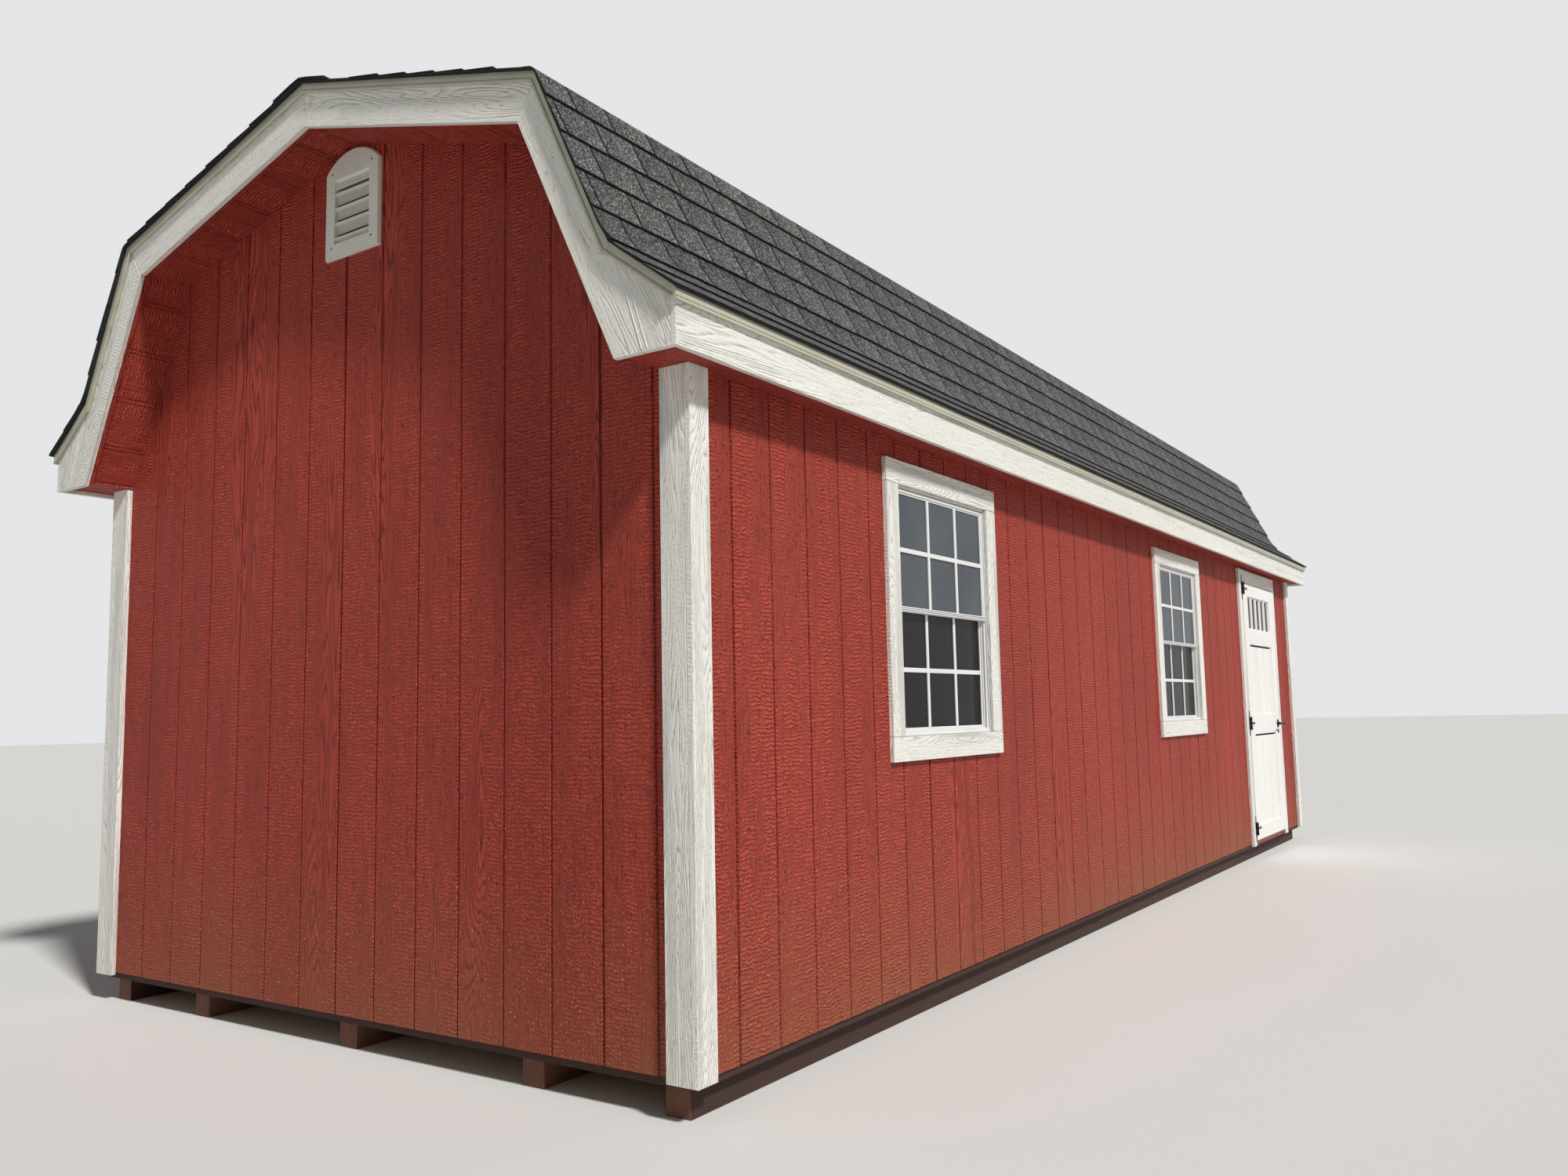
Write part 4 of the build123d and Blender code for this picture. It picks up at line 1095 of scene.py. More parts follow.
def ridge_sheet(shape, start, stop):
    """One folded sheet, higher where it laps the next."""
    reach = CAP_REACH - dice.uniform(0, 0.004)
    ends = ((start, CAP_NEAR), (stop, CAP_FAR))
    rows = []
    for x in (-reach, -CAP_BEND, -0.018, 0.0, 0.018, CAP_BEND, reach):
        z = height_at(UPPER, abs(x), 0) - max(0.0, 1 - abs(x) / CAP_BEND) * CAP_DIP
        places = [(at, lift - thick) for thick in (0, CAP_SHEET) for at, lift in ends]
        rows.append([Vector((x, at, z + lift / math.cos(UPPER[2]))) for at, lift in places])
    number = 2 * dice.randrange(400)

    def uv(k, edge):
        return number + 0.05 + 0.9 * k / (len(rows) - 1), float(edge)

    ribbon(shape, rows, uv)


def ridge_cap():
    shape = Shape("ridge")
    y = -SHINGLE_END + 0.001
    while y < SHINGLE_END - 0.03:
        ridge_sheet(shape, y, min(y + EXPOSURE + 0.02, SHINGLE_END - 0.001))
        y += EXPOSURE
    shape.stand_in("ridge_cap", [SHINGLE, ASPHALT], "shingle")


roof_shingles()
ridge_cap()

# Drip edges: how far out and how deep each fold of the metal is
DRIP_OUT = 0.014
DRIP_PROFILE = [
    (0.0002, 0.0004),
    (0.0105, 0.0004),
    (0.0114, 0.0020),
    (0.0102, 0.0205),
    (0.0078, 0.0222),
    (0.0080, 0.0240),
    (0.0130, 0.0256),
    (0.0139, 0.0275),
    (0.0133, 0.0322),
    (0.0112, 0.0337),
    (0.0080, 0.0330),
    (0.0002, 0.0300),
]
DRIP_LAPS = (-1.264, 1.780)
LAP = 0.002
DRIP_NAILS = ((UPPER, 1.085), (UPPER, 0.55), (STEEP, 1.398), (KICK, 1.60))


def rake_drip(shape, slope, side, end, start, stop, grow=0.0):
    """Folded strip up a rake; start and stop say where each depth begins and ends, from the top."""
    points = []
    for edge in (stop, start):
        for out, deep in DRIP_PROFILE:
            x, z = under(slope, edge(deep), deep)
            points.append((side * x, end * (RAKE_FACE + min(DRIP_OUT, out + grow)), z))
    shape.tube(points, len(DRIP_PROFILE), fall(slope, side))


def rake_drips(shape, side, end):
    """The strips of one rake, lapped at the knuckle and at the kick."""

    def knuckle(past):
        return lambda deep: corner_at(UPPER, deep, STEEP, deep) + past

    def kick(past):
        return lambda deep: corner_at(STEEP, deep, KICK, deep) + past

    rake_drip(shape, UPPER, side, end, lambda deep: 0.0004, knuckle(-0.0008))
    rake_drip(shape, STEEP, side, end, knuckle(0.0002), kick(0.006), MITRE)
    rake_drip(shape, KICK, side, end, kick(0.003), lambda deep: EAVE_X - 0.001)


def eave_drips(shape, side):
    """The eave's strip in three lengths, its folds hanging plumb."""
    outline = [under(KICK, EAVE_X + DRIP_PROFILE[0][0], 0.0008)]
    for out, deep in DRIP_PROFILE[1:]:
        x, top = under(KICK, EAVE_X + out, 0.0008)
        outline.append((x, min(top, height_at(KICK, EAVE_X + DRIP_OUT, 0) - deep)))
    reach = RAKE_FACE + 0.0125
    first, second = DRIP_LAPS
    for low, high in ((-reach, first + LAP), (first - LAP, second + LAP), (second - LAP, reach)):
        shape.prism(section(outline, side, low), (0, high - low, 0), (0, 1, 0))


def drip_edges():
    shape = Shape("drip")
    for side in SIDES:
        for end in ENDS:
            rake_drips(shape, side, end)
        eave_drips(shape, side)
    for side, end in CORNERS:
        for slope, x in DRIP_NAILS:
            spot = (side * x, end * (RAKE_FACE + 0.0106), height_at(slope, x, 0.012))
            shape.head(spot, (0, end, 0), BIG_NAIL, 0.0012)
    shape.stand_in("drip_edges", [DRIP], "drip", smooth=40)


drip_edges()

# Windows: how far out each part comes, and the sashes' ends
FRAME_FRONT, FRAME_BACK, FRAME_FACE = 1.530, 1.454, 0.010
SASH_DEPTH, SASH_FACE = 0.018, 0.018
UPPER_FRONT = 1.527
LOWER_FRONT = UPPER_FRONT - SASH_DEPTH - SEAM
LINER_LOW, LINER_HIGH = WINDOW_LOW + FRAME_FACE, WINDOW_HIGH - FRAME_FACE
SASH_HALF = WINDOW_HALF - FRAME_FACE - SEAM
SASH_LOW, SASH_HIGH = LINER_LOW + SEAM, LINER_HIGH - SEAM
MEETING_LOW, MEETING_HIGH = MEETING - SASH_FACE / 2, MEETING + SASH_FACE / 2
EDGE_STEP = 0.004
BOARD_GAP = 0.0012
BAR_HALF, BAR_CLEAR = 0.0085, 0.0088
LATCH_RINGS = [(0, 0.0075), (0.003, 0.007), (0.0035, 0.004)]
LOCK_RINGS = [(0, 0.009), (0.004, 0.0085), (0.005, 0.006)]
# Ribs of the frame: how far out, how wide, and their ends
RIB_THICK = 0.0022
RIBS = (
    (LOWER_FRONT + 0.0010, 0.012, LINER_LOW, MEETING_LOW - 0.002),
    (LOWER_FRONT + 0.0105, 0.007, LINER_LOW, MEETING_LOW - 0.002),
    (UPPER_FRONT - SASH_DEPTH - 0.0155, 0.018, MEETING_HIGH + 0.004, LINER_HIGH),
    (FRAME_BACK + 0.001, 0.030, LINER_LOW, LINER_HIGH),
)

trim = Shape("window_trim")
liner = Shape("window_frames")
sash_up = Shape("upper_sashes")
sash_down = Shape("lower_sashes")
bars = Shape("muntins")
weatherstrip_and_shade = Shape("weatherstrips")
fittings = Shape("window_fittings")


def corners_of(middle, half, low, high):
    """A rectangle's corners in turn."""
    near, far = middle - half, middle + half
    return [(near, low), (far, low), (far, high), (near, high)]


def ring_of(shape, side, depths, y, half, levels, face, lip):
    """Four mitred pieces round an opening in a long wall; the outer share, lip, stands proud."""
    (front, back), (low, high) = depths, levels
    outer = corners_of(y, half, low, high)
    inner = corners_of(y, half - face, low + face, high - face)
    for k in range(4):
        a, b = outer[k], outer[(k + 1) % 4]
        d, c = inner[k], inner[(k + 1) % 4]
        m, n = [Vector(p).lerp(Vector(q), lip) for p, q in ((a, d), (b, c))]
        for x, quad in ((front, (a, b, n, m)), (front - EDGE_STEP, (m, n, c, d))):
            outline = [(side * x, *p) for p in quad]
            shape.prism(outline, (side * (back - x), 0, 0), (0, b[0] - a[0], b[1] - a[1]))


def sash_bars(side, front, y, low, high):
    """Bars in front of and behind a sash's glass: two upright and one level."""
    middle, level = front - SASH_DEPTH / 2, (low + high) / 2
    half = SASH_HALF - SASH_FACE
    thirds = (y - half / 3, y + half / 3)
    edges = [y - half, *[at + way * BAR_CLEAR for at in thirds for way in (-1, 1)], y + half]
    for near, far in ((0.002, 0.0075), (-0.002, -0.0065)):
        x0, x1 = side * (middle + near), side * (middle + far)
        for at in thirds:
            bars.box((x0, at - BAR_HALF, low), (x1, at + BAR_HALF, high))
        for start, stop in zip(edges[::2], edges[1::2]):
            bars.box((x0, start, level - BAR_HALF), (x1, stop, level + BAR_HALF), (0, 1, 0))


def window_boards(side, y):
    """The four boards of a window's trim, nailed."""
    face, back = side * TRIM_X, side * HALF_WIDTH
    low, high = y - WINDOW_HALF - TRIM_WIDTH, y + WINDOW_HALF + TRIM_WIDTH
    trim.box((back, low, WINDOW_HIGH + BOARD_GAP), (face, high, WINDOW_HIGH + TRIM_WIDTH), (0, 1, 0))
    trim.box((back, low, WINDOW_LOW - TRIM_WIDTH), (face, high, WINDOW_LOW - BOARD_GAP), (0, 1, 0))
    for start in (low, high - TRIM_WIDTH):
        trim.box((back, start, WINDOW_LOW), (face, start + TRIM_WIDTH, WINDOW_HIGH))
        for z in (WINDOW_LOW + WINDOW_NAIL_END, 1.46, WINDOW_HIGH - WINDOW_NAIL_END):
            for inset in NAIL_INSETS:
                nail((face, start + inset, z), (side, 0, 0))
    for z in (WINDOW_HIGH + TRIM_MIDDLE, WINDOW_LOW - TRIM_MIDDLE):
        for at in spaced(low + TRIM_MIDDLE, (high - low) / 2 - TRIM_MIDDLE, 3):
            nail((face, at, z), (side, 0, 0))


def window_frame(side, y):
    """The frame, its inner ribs and its sloped sill."""
    depths, levels = (FRAME_FRONT, FRAME_BACK), (WINDOW_LOW, WINDOW_HIGH)
    ring_of(liner, side, depths, y, WINDOW_HALF - 0.0002, levels, FRAME_FACE, 0.5)
    for edge in (-1, 1):
        inside = y + edge * (WINDOW_HALF - FRAME_FACE)
        for x, width, low, high in RIBS:
            rib = (side * (x + RIB_THICK), inside - edge * width, high)
            liner.box((side * x, inside, low), rib)
    back, front, low = LOWER_FRONT + 0.001, FRAME_FRONT - 0.0045, LINER_LOW - 0.001
    sill = [(back, low), (front, low), (front, low + 0.0025), (back, low + 0.0095)]
    liner.prism(section(sill, side, y - SASH_HALF), (0, 2 * SASH_HALF, 0), (0, 1, 0))


def window_sashes(side, y):
    """Both sashes with their bars, and the ribs and the strip on the upper one's meeting rail."""
    for shape, front, low, high in (
        (sash_up, UPPER_FRONT, MEETING_LOW, SASH_HIGH),
        (sash_down, LOWER_FRONT, SASH_LOW, MEETING_HIGH),
    ):
        depths = (front, front - SASH_DEPTH)
        ring_of(shape, side, depths, y, SASH_HALF, (low, high), SASH_FACE, 0.6)
        sash_bars(side, front, y, low + SASH_FACE, high - SASH_FACE)
    near, far = y - SASH_HALF + 0.002, y + SASH_HALF - 0.002
    for k in range(3):
        z = MEETING_LOW + 0.0002 + k * 0.0066
        back, face = side * (UPPER_FRONT - 0.0004), side * (UPPER_FRONT + 0.0036)
        sash_up.box((back, near, z), (face, far, z + 0.0044), (0, 1, 0))
    back, face = side * (UPPER_FRONT - 0.0002), side * (UPPER_FRONT + 0.0006)
    weatherstrip_and_shade.box((back, near, MEETING_LOW + 0.0004), (face, far, MEETING_HIGH - 0.0004), (0, 1, 0))


def window_seals_and_shade_lines(side, y):
    """Thin dark lines: strips along the frame's step, partly weatherstrip and partly painted shade, and
    painted shade round the frame's outside where it meets the trim.
    """
    back, face = side * (FRAME_FRONT - EDGE_STEP - 0.0005), side * (FRAME_FRONT - EDGE_STEP + 0.0006)
    outer_back, outer_face = side * (FRAME_FRONT - 0.0004), side * (FRAME_FRONT + 0.0005)
    for edge in (-1, 1):
        inside = y + edge * (WINDOW_HALF - FRAME_FACE)
        start, stop = inside + edge * 0.0003, inside + edge * 0.0024
        weatherstrip_and_shade.box((back, start, LINER_LOW), (face, stop, LINER_HIGH))
        # Painted shade: a dark line round the frame's outside where it meets the trim.
        start, stop = y + edge * (WINDOW_HALF - 0.0004), y + edge * (WINDOW_HALF - 0.0020)
        weatherstrip_and_shade.box((outer_back, start, WINDOW_LOW + 0.001), (outer_face, stop, WINDOW_HIGH - 0.001))
    low = (back, y - SASH_HALF, LINER_HIGH + 0.0003)
    weatherstrip_and_shade.box(low, (face, y + SASH_HALF, LINER_HIGH + 0.0020), (0, 1, 0))


def window_fittings(side, y):
    """Tilt latches up the frame's sides, and the lock on the meeting rail."""
    latch = UPPER_FRONT - SASH_DEPTH - 0.016
    for edge in (-1, 1):
        inside = y + edge * (WINDOW_HALF - FRAME_FACE)
        low = (side * latch, inside, SASH_HIGH - 0.100)
        fittings.box(low, (side * (latch - 0.022), inside - edge * 0.014, SASH_HIGH - 0.042))
        spot = (side * (latch - 0.011), inside - edge * 0.0135, SASH_HIGH - 0.060)
        fittings.lathe(spot, (0, -edge, 0), LATCH_RINGS, 14)
    inner = LOWER_FRONT - SASH_DEPTH
    low = (side * (inner - 0.018), y - 0.022, MEETING_HIGH - 0.018)
    fittings.box(low, (side * inner, y + 0.022, MEETING_HIGH - 0.002))
    fittings.lathe((side * (inner - 0.010), y, MEETING_HIGH - 0.003), (0, 0, 1), LOCK_RINGS, 14)


for side in SIDES:
    for y in WINDOW_ROWS:
        for part in (window_boards, window_frame, window_sashes, window_seals_and_shade_lines, window_fittings):
            part(side, y)
trim.stand_in("window_trim", [TRIM], "trim", bevel=0.0018)
liner.stand_in("window_frames", [VINYL], "window_white", bevel=0.0008)
sash_up.stand_in("upper_sashes", [VINYL], "window_white", bevel=0.0009)
sash_down.stand_in("lower_sashes", [VINYL], "window_white", bevel=0.0009)
bars.piece("window_bars", [VINYL], "window_white", bevel=0.0012)
fittings.piece("window_fittings", [VINYL], "window_white", bevel=0.0008)
weatherstrip_and_shade.piece("window_weatherstrips_and_shade_lines", [SEAL_AND_PAINTED_SHADE], "black_metal")
dress("window_glass", GLASS)
dress("door_glass", DOOR_GLASS)

# Gable vents: a flange and a face board, louvres, insect screen and screws
VENT_HOOD = ((-0.014, 0.0), (0.0148, 0.0), (0.0148, -0.0035), (0.0062, -0.0095), (0.0118, -0.0375))
VENT_HOOD += ((0.0110, -0.0395), (-0.014, -0.030))
SLATS, SLAT_PITCH = 4, 0.056
# A blade and the riser under it, by how far out from the wall and how high above the nose
BLADE = ((-0.0205, 0.0100), (-0.0195, 0.0125), (0.0080, 0.0065), (0.0134, 0.0030))
BLADE += ((0.0134, -0.0030), (0.0070, -0.0045), (0.0060, 0.0010))
BLADE_GAP = 0.0006
WIRE_HALF, WIRE_THICK = 0.0004, 0.0008
UPRIGHT_WIRES, LEVEL_WIRES = 34, 42
SCREEN_BACK = 0.0225

flange = Shape("vent")
slats = Shape("slats")
screws = Shape("vent_screws")
screen = Shape("screen")


def arch(centre, half, low, high, rise, steps=18):
    """Outline of the vent: a flat foot, upright sides and a low arch."""
    radius = (half * half + rise * rise) / (2 * rise)
    reach = math.asin(half / radius)
    points = [(centre - half, low), (centre + half, low)]
    for k in range(steps + 1):
        turn = reach - 2 * reach * k / steps
        points.append((centre + radius * math.sin(turn), high - radius + radius * math.cos(turn)))
    return points


def vent_board(end, centre, inset, start, stop):
    """A board round the throat, in four pieces that meet without a seam."""
    half, low, high = VENT_HALF - inset, VENT_BOTTOM + inset, VENT_TOP - inset
    outer = arch(centre, half, low, high, VENT_RISE)
    outline = outer + corners_of(centre, THROAT_HALF, THROAT_LOW, THROAT_HIGH)
    n, m = len(outer), len(outline)
    points = [(x, end * (HALF_LENGTH + at), z) for at in (start, stop) for x, z in outline]
    faces = []
    for group in (
        [0, 1, n + 1, n],
        [1, 2, 3, n + 2, n + 1],
        [*range(3, n - 1), n + 3, n + 2],
        [n - 2, n - 1, 0, n, n + 3],
    ):
        faces += [[p + m for p in group], group[::-1]]
    faces += [[k, (k + 1) % n, m + (k + 1) % n, m + k] for k in range(n)]
    for k in range(4):
        a, b = n + k, n + (k + 1) % 4
        faces.append([b, a, m + a, m + b])
    flange.add(points, faces)


def across_throat(shape, end, centre, profile, gap=0.0, kind=0):
    """A profile of places out from the wall and up, drawn across the throat."""
    start = centre - THROAT_HALF + gap
    outline = [(start, end * (HALF_LENGTH + out), z) for out, z in profile]
    shape.prism(outline, (2 * (THROAT_HALF - gap), 0, 0), (1, 0, 0), kind)


def vent_slats(end, centre):
    """Four blades, each with a riser under it in darker plastic that is painted shade, and a dark strip
    of painted shade behind each gap.
    """
    for k in range(SLATS):
        nose = THROAT_HIGH - (k + 1) * SLAT_PITCH
        last = k == SLATS - 1
        foot = THROAT_LOW + 0.0005 if last else nose - SLAT_PITCH + 0.0175
        blade = [(out, nose + up) for out, up in BLADE]
        # The riser takes the darker plastic, its painted shade.
        riser = [(0.0072, nose - 0.0040), (0.0020, foot), (-0.0005, foot), (0.0040, nose + 0.0010)]
        across_throat(slats, end, centre, blade, BLADE_GAP)
        across_throat(slats, end, centre, riser, BLADE_GAP, 1)
        # Painted shade: a dark strip behind the gap between this blade and the next.
        if not last:
            low = (centre - THROAT_HALF, end * (HALF_LENGTH - 0.008), foot + 0.0015)
            high = (centre + THROAT_HALF, end * (HALF_LENGTH - 0.010), foot - 0.0075)
            slats.box(low, high, slots=2)


def vent_screen(end, centre):
    """Insect screen behind the louvres, its level wires behind the upright ones."""
    near, middle, far = [end * (HALF_LENGTH - SCREEN_BACK - k * WIRE_THICK) for k in range(3)]
    for k in range(UPRIGHT_WIRES):
        x = centre - THROAT_HALF + (k + 0.5) * 2 * THROAT_HALF / UPRIGHT_WIRES
        screen.box((x - WIRE_HALF, near, THROAT_LOW), (x + WIRE_HALF, middle, THROAT_HIGH))
    for k in range(LEVEL_WIRES):
        z = THROAT_LOW + (k + 0.5) * (THROAT_HIGH - THROAT_LOW) / LEVEL_WIRES
        low = (centre - THROAT_HALF, middle, z - WIRE_HALF)
        screen.box(low, (centre + THROAT_HALF, far, z + WIRE_HALF), (1, 0, 0))


for end in ENDS:
    centre = -end * VENT_OFFSET
    vent_board(end, centre, 0.0, 0.0, 0.0082)
    vent_board(end, centre, 0.0035, 0.0079, 0.0150)
    across_throat(flange, end, centre, [(out, THROAT_HIGH + up) for out, up in VENT_HOOD])
    for edge in (-1, 1):
        low = (centre + edge * THROAT_HALF, end * (HALF_LENGTH + 0.001), THROAT_LOW)
        inner = centre + edge * (THROAT_HALF - 0.0009)
        flange.box(low, (inner, end * (HALF_LENGTH - SCREEN_BACK), THROAT_HIGH))
    vent_slats(end, centre)
    vent_screen(end, centre)
    for x in (-0.1125, 0.1105):
        for z in (VENT_BOTTOM + 0.041, VENT_TOP - 0.070):
            spot = (centre + x, end * (HALF_LENGTH + 0.0148), z)
            screws.head(spot, (0, end, 0), 0.0042, 0.0004, 10)
flange.stand_in("gable_vents", [VENT_WHITE], "vent", smooth=30)
slats.stand_in("vent_slats", [VENT_WHITE, VENT_RISER_PAINTED_SHADE, SEAL_AND_PAINTED_SHADE], "vent", smooth=40)
screws.piece("vent_screws", [IRON], "black_metal", smooth=50)
screen.piece("vent_screens", [METAL], "vent")

# Service doorway: casing, sill and threshold
CASING_HIGH = 2.062


def door_casing():
    shape = Shape("casing")
    near, far = DOORWAY_NEAR - TRIM_WIDTH, DOORWAY_FAR + TRIM_WIDTH
    for low in (near, DOORWAY_FAR):
        high = (TRIM_X, low + TRIM_WIDTH, DOORWAY_HIGH - 0.0006)
        shape.box((HALF_WIDTH, low, CASING_LOW), high)
        for z in spaced(0.2, 0.42, 5):
            for inset in NAIL_INSETS:
                nail((TRIM_X, low + inset, z), (1, 0, 0))
    shape.box((HALF_WIDTH, near, DOORWAY_HIGH), (TRIM_X, far, CASING_HIGH), (0, 1, 0))
    for y in spaced(near + 0.06, 0.335, 4):
        nail((TRIM_X, y, 2.02), (1, 0, 0))
    shape.stand_in("door_casing", [TRIM], "trim", bevel=0.0018)


def door_sill():
    shape = Shape("sill")
    low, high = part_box("door_sill")
    shape.box(low, high, (0, 1, 0))
    shape.stand_in("door_sill", [SILL_RED], "skid", bevel=0.0016)


def door_threshold():
    """A metal step with ridges along it."""
    shape = Shape("threshold")
    low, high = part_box("door_threshold")
    shape.box(low, (high.x, high.y, high.z - 0.0012), (0, 1, 0))
    foot = high.z - 0.0014
    for k in range(7):
        x = low.x + 0.008 + k * (high.x - low.x - 0.016) / 6
        ridge = [(x - 0.003, foot), (x + 0.003, foot), (x + 0.0015, high.z), (x - 0.0015, high.z)]
        shape.prism(section(ridge, 1, low.y), (0, high.y - low.y, 0), (0, 1, 0))
    shape.stand_in("door_threshold", [METAL], "threshold")


door_casing()
nails.piece("trim_nails", [CAULK], "trim", smooth=50)
dress("door_jamb", DOOR_PAINT)
door_sill()
door_threshold()

# Service door leaf
LEAF_FRONT, LEAF_BACK = 1.546, 1.514
LEAF_NEAR, LEAF_FAR = 2.423, 3.356
LEAF_LOW, LEAF_HIGH = 0.136, 1.960
STILE = 0.127
PANEL_NEAR, PANEL_FAR = LEAF_NEAR + STILE, LEAF_FAR - STILE
PANELS = ((0.232, 0.875), (1.019, 1.523))
PANEL_FRONT = LEAF_FRONT - 0.010
LITE_LOW, LITE_HIGH = 1.633, 1.873
LITE_BARS, LITE_EDGE = 4, 0.010
GLASS_FRONT, GLASS_BACK = LEAF_FRONT - 0.020, LEAF_FRONT - 0.024
SPINDLE_Y, SPINDLE_Z = 3.296, 0.940
BORE, BORE_SIDES = 0.0082, 16


def yz(points, x):
    return [(x, y, z) for y, z in points]


def bored_stile(shape):
    """The far stile, its face in four pieces round the spindle's hole."""
    y0, y1 = PANEL_FAR + SEAM, LEAF_FAR
    outline = [(y0, LEAF_LOW), (y1, LEAF_LOW), (y1, LEAF_HIGH), (y0, LEAF_HIGH)]
    for k in range(BORE_SIDES):
        turn = math.radians(-135) + 2 * math.pi * k / BORE_SIDES
        outline.append((SPINDLE_Y + BORE * math.cos(turn), SPINDLE_Z + BORE * math.sin(turn)))
    m = len(outline)
    faces = []
    for k in range(4):
        after = (k + 1) % 4
        arc = [4 + (4 * k + j) % BORE_SIDES for j in range(5)]
        ring = [k, after, *reversed(arc)]
        faces += [[p + m for p in ring], ring[::-1], [k, after, m + after, m + k]]
    for k in range(BORE_SIDES):
        a, b = 4 + k, 4 + (k + 1) % BORE_SIDES
        faces.append([b, a, a + m, b + m])
    shape.add(yz(outline, LEAF_BACK) + yz(outline, LEAF_FRONT), faces)


def door_frame():
    """Two stiles, and rails below, between and above the panels and the lite."""
    shape = Shape("leaf")
    shape.box((LEAF_BACK, LEAF_NEAR, LEAF_LOW), (LEAF_FRONT, PANEL_NEAR - SEAM, LEAF_HIGH))
    bored_stile(shape)
    edges = [LEAF_LOW, *PANELS[0], *PANELS[1], LITE_LOW, LITE_HIGH, LEAF_HIGH]
    for low, high in zip(edges[::2], edges[1::2]):
        shape.box((LEAF_BACK, PANEL_NEAR, low), (LEAF_FRONT, PANEL_FAR, high), (0, 1, 0))
    shape.stand_in("door_frame", [DOOR_PAINT], "trim", "service_door", bevel=0.0016)


def door_panels():
    """Planked panels, with a dark strip of painted shade under the rail above each."""
    shape, painted_shade_strips = Shape("planks"), Shape("reveals")
    rows = []
    for k in range(4):
        rows += groove(PANEL_NEAR + 0.035 + k * GROOVE_PITCH, *PLANK_GROOVE)
    plank_depth = depth_along(rows)

    def place(t, z, depth):
        return Vector((PANEL_FRONT - depth, t, z))

    for low, high in PANELS:

        def depth(t, z, gap=high - 0.0130):
            return 0.0095 if z > gap else plank_depth(t)

        levels = [low, high - 0.0135, high - 0.0125, high]
        shape.relief(rulings(PANEL_NEAR, PANEL_FAR, rows), levels, place, depth, SIDING_THICK)
        # Painted shade: a dark strip in the recess at the top of the panel.
        start = (PANEL_FRONT - 0.0098, PANEL_NEAR + 0.004, high - 0.0125)
        painted_shade_strips.box(start, (PANEL_FRONT - 0.0075, PANEL_FAR - 0.004, high - 0.0004), (0, 1, 0))
    shape.stand_in("door_panels", [DOOR_PAINT], "trim", "service_door")
    painted_shade_strips.piece("door_panel_painted_shade", [SEAL_AND_PAINTED_SHADE], "black_metal", "service_door")


def door_lite():
    """Bars and edges on both sides of the door's glass."""
    shape = Shape("lite")
    back = LEAF_BACK + 0.001
    profile = [(LEAF_FRONT - 0.0045, 0.006), (GLASS_FRONT + 0.006, 0.0115), (GLASS_FRONT, 0.0115)]
    for k in range(LITE_BARS):
        middle = PANEL_NEAR + (k + 1) * (PANEL_FAR - PANEL_NEAR) / (LITE_BARS + 1)
        bar = [(x, middle - half) for x, half in profile]
        bar += [(x, middle + half) for x, half in reversed(profile)]
        bar = [(x, y, LITE_LOW + 0.0005) for x, y in bar]
        shape.prism(bar, (0, 0, LITE_HIGH - LITE_LOW - 0.001))
        shape.box((GLASS_BACK, middle - 0.010, LITE_LOW), (back, middle + 0.010, LITE_HIGH))
    for x0, x1 in ((GLASS_FRONT, GLASS_FRONT + 0.010), (GLASS_BACK, back)):
        for y, inward in ((PANEL_NEAR, LITE_EDGE), (PANEL_FAR, -LITE_EDGE)):
            shape.box((x0, y, LITE_LOW), (x1, y + inward, LITE_HIGH))
        for z, inward in ((LITE_LOW, LITE_EDGE), (LITE_HIGH, -LITE_EDGE)):
            far = (x1, PANEL_FAR - 0.0102, z + inward)
            shape.box((x0, PANEL_NEAR + 0.0102, z), far, (0, 1, 0))
    shape.piece("door_lite_bars", [DOOR_PAINT], "trim", "service_door", bevel=0.0008)


door_frame()
door_panels()
door_lite()

# Door hinges: plates with pointed ends on the casing, flared straps on the leaf
HINGE_Z = (0.217, 0.956, 1.926)
PIN = (1.553, 2.420)
HINGE_THICK, SCREW_LIFT = 0.0030, 0.0028
PLATE_HALF, PLATE_WIDTH = 0.042, 0.030
# Half of a plate's point and of a strap: how wide at each height, and at each place along
POINT = ((0.0095, 0.047), (0.0040, 0.060), (0.0055, 0.072), (0.0040, 0.082), (0.0, 0.090))
STRAP = ((0.0, 0.011), (0.030, 0.0085), (0.070, 0.0050), (0.088, 0.0045), (0.096, 0.0080))
STRAP += ((0.104, 0.0108), (0.111, 0.0080), (0.120, 0.0))
PLATE_SCREWS = ((-0.009, 0.028), (0.005, 0.0), (-0.009, -0.028), (-0.002, 0.062), (-0.002, -0.062))
BARREL = [(0.0, 0.0052), (0.0008, 0.006), (0.0267, 0.006), (0.0275, 0.0052)]
BARREL_LONG = BARREL[-1][0]
PIN_TIP = [(0.0, 0.0035), (0.002, 0.0050), (0.0045, 0.0042), (0.0065, 0.0012)]


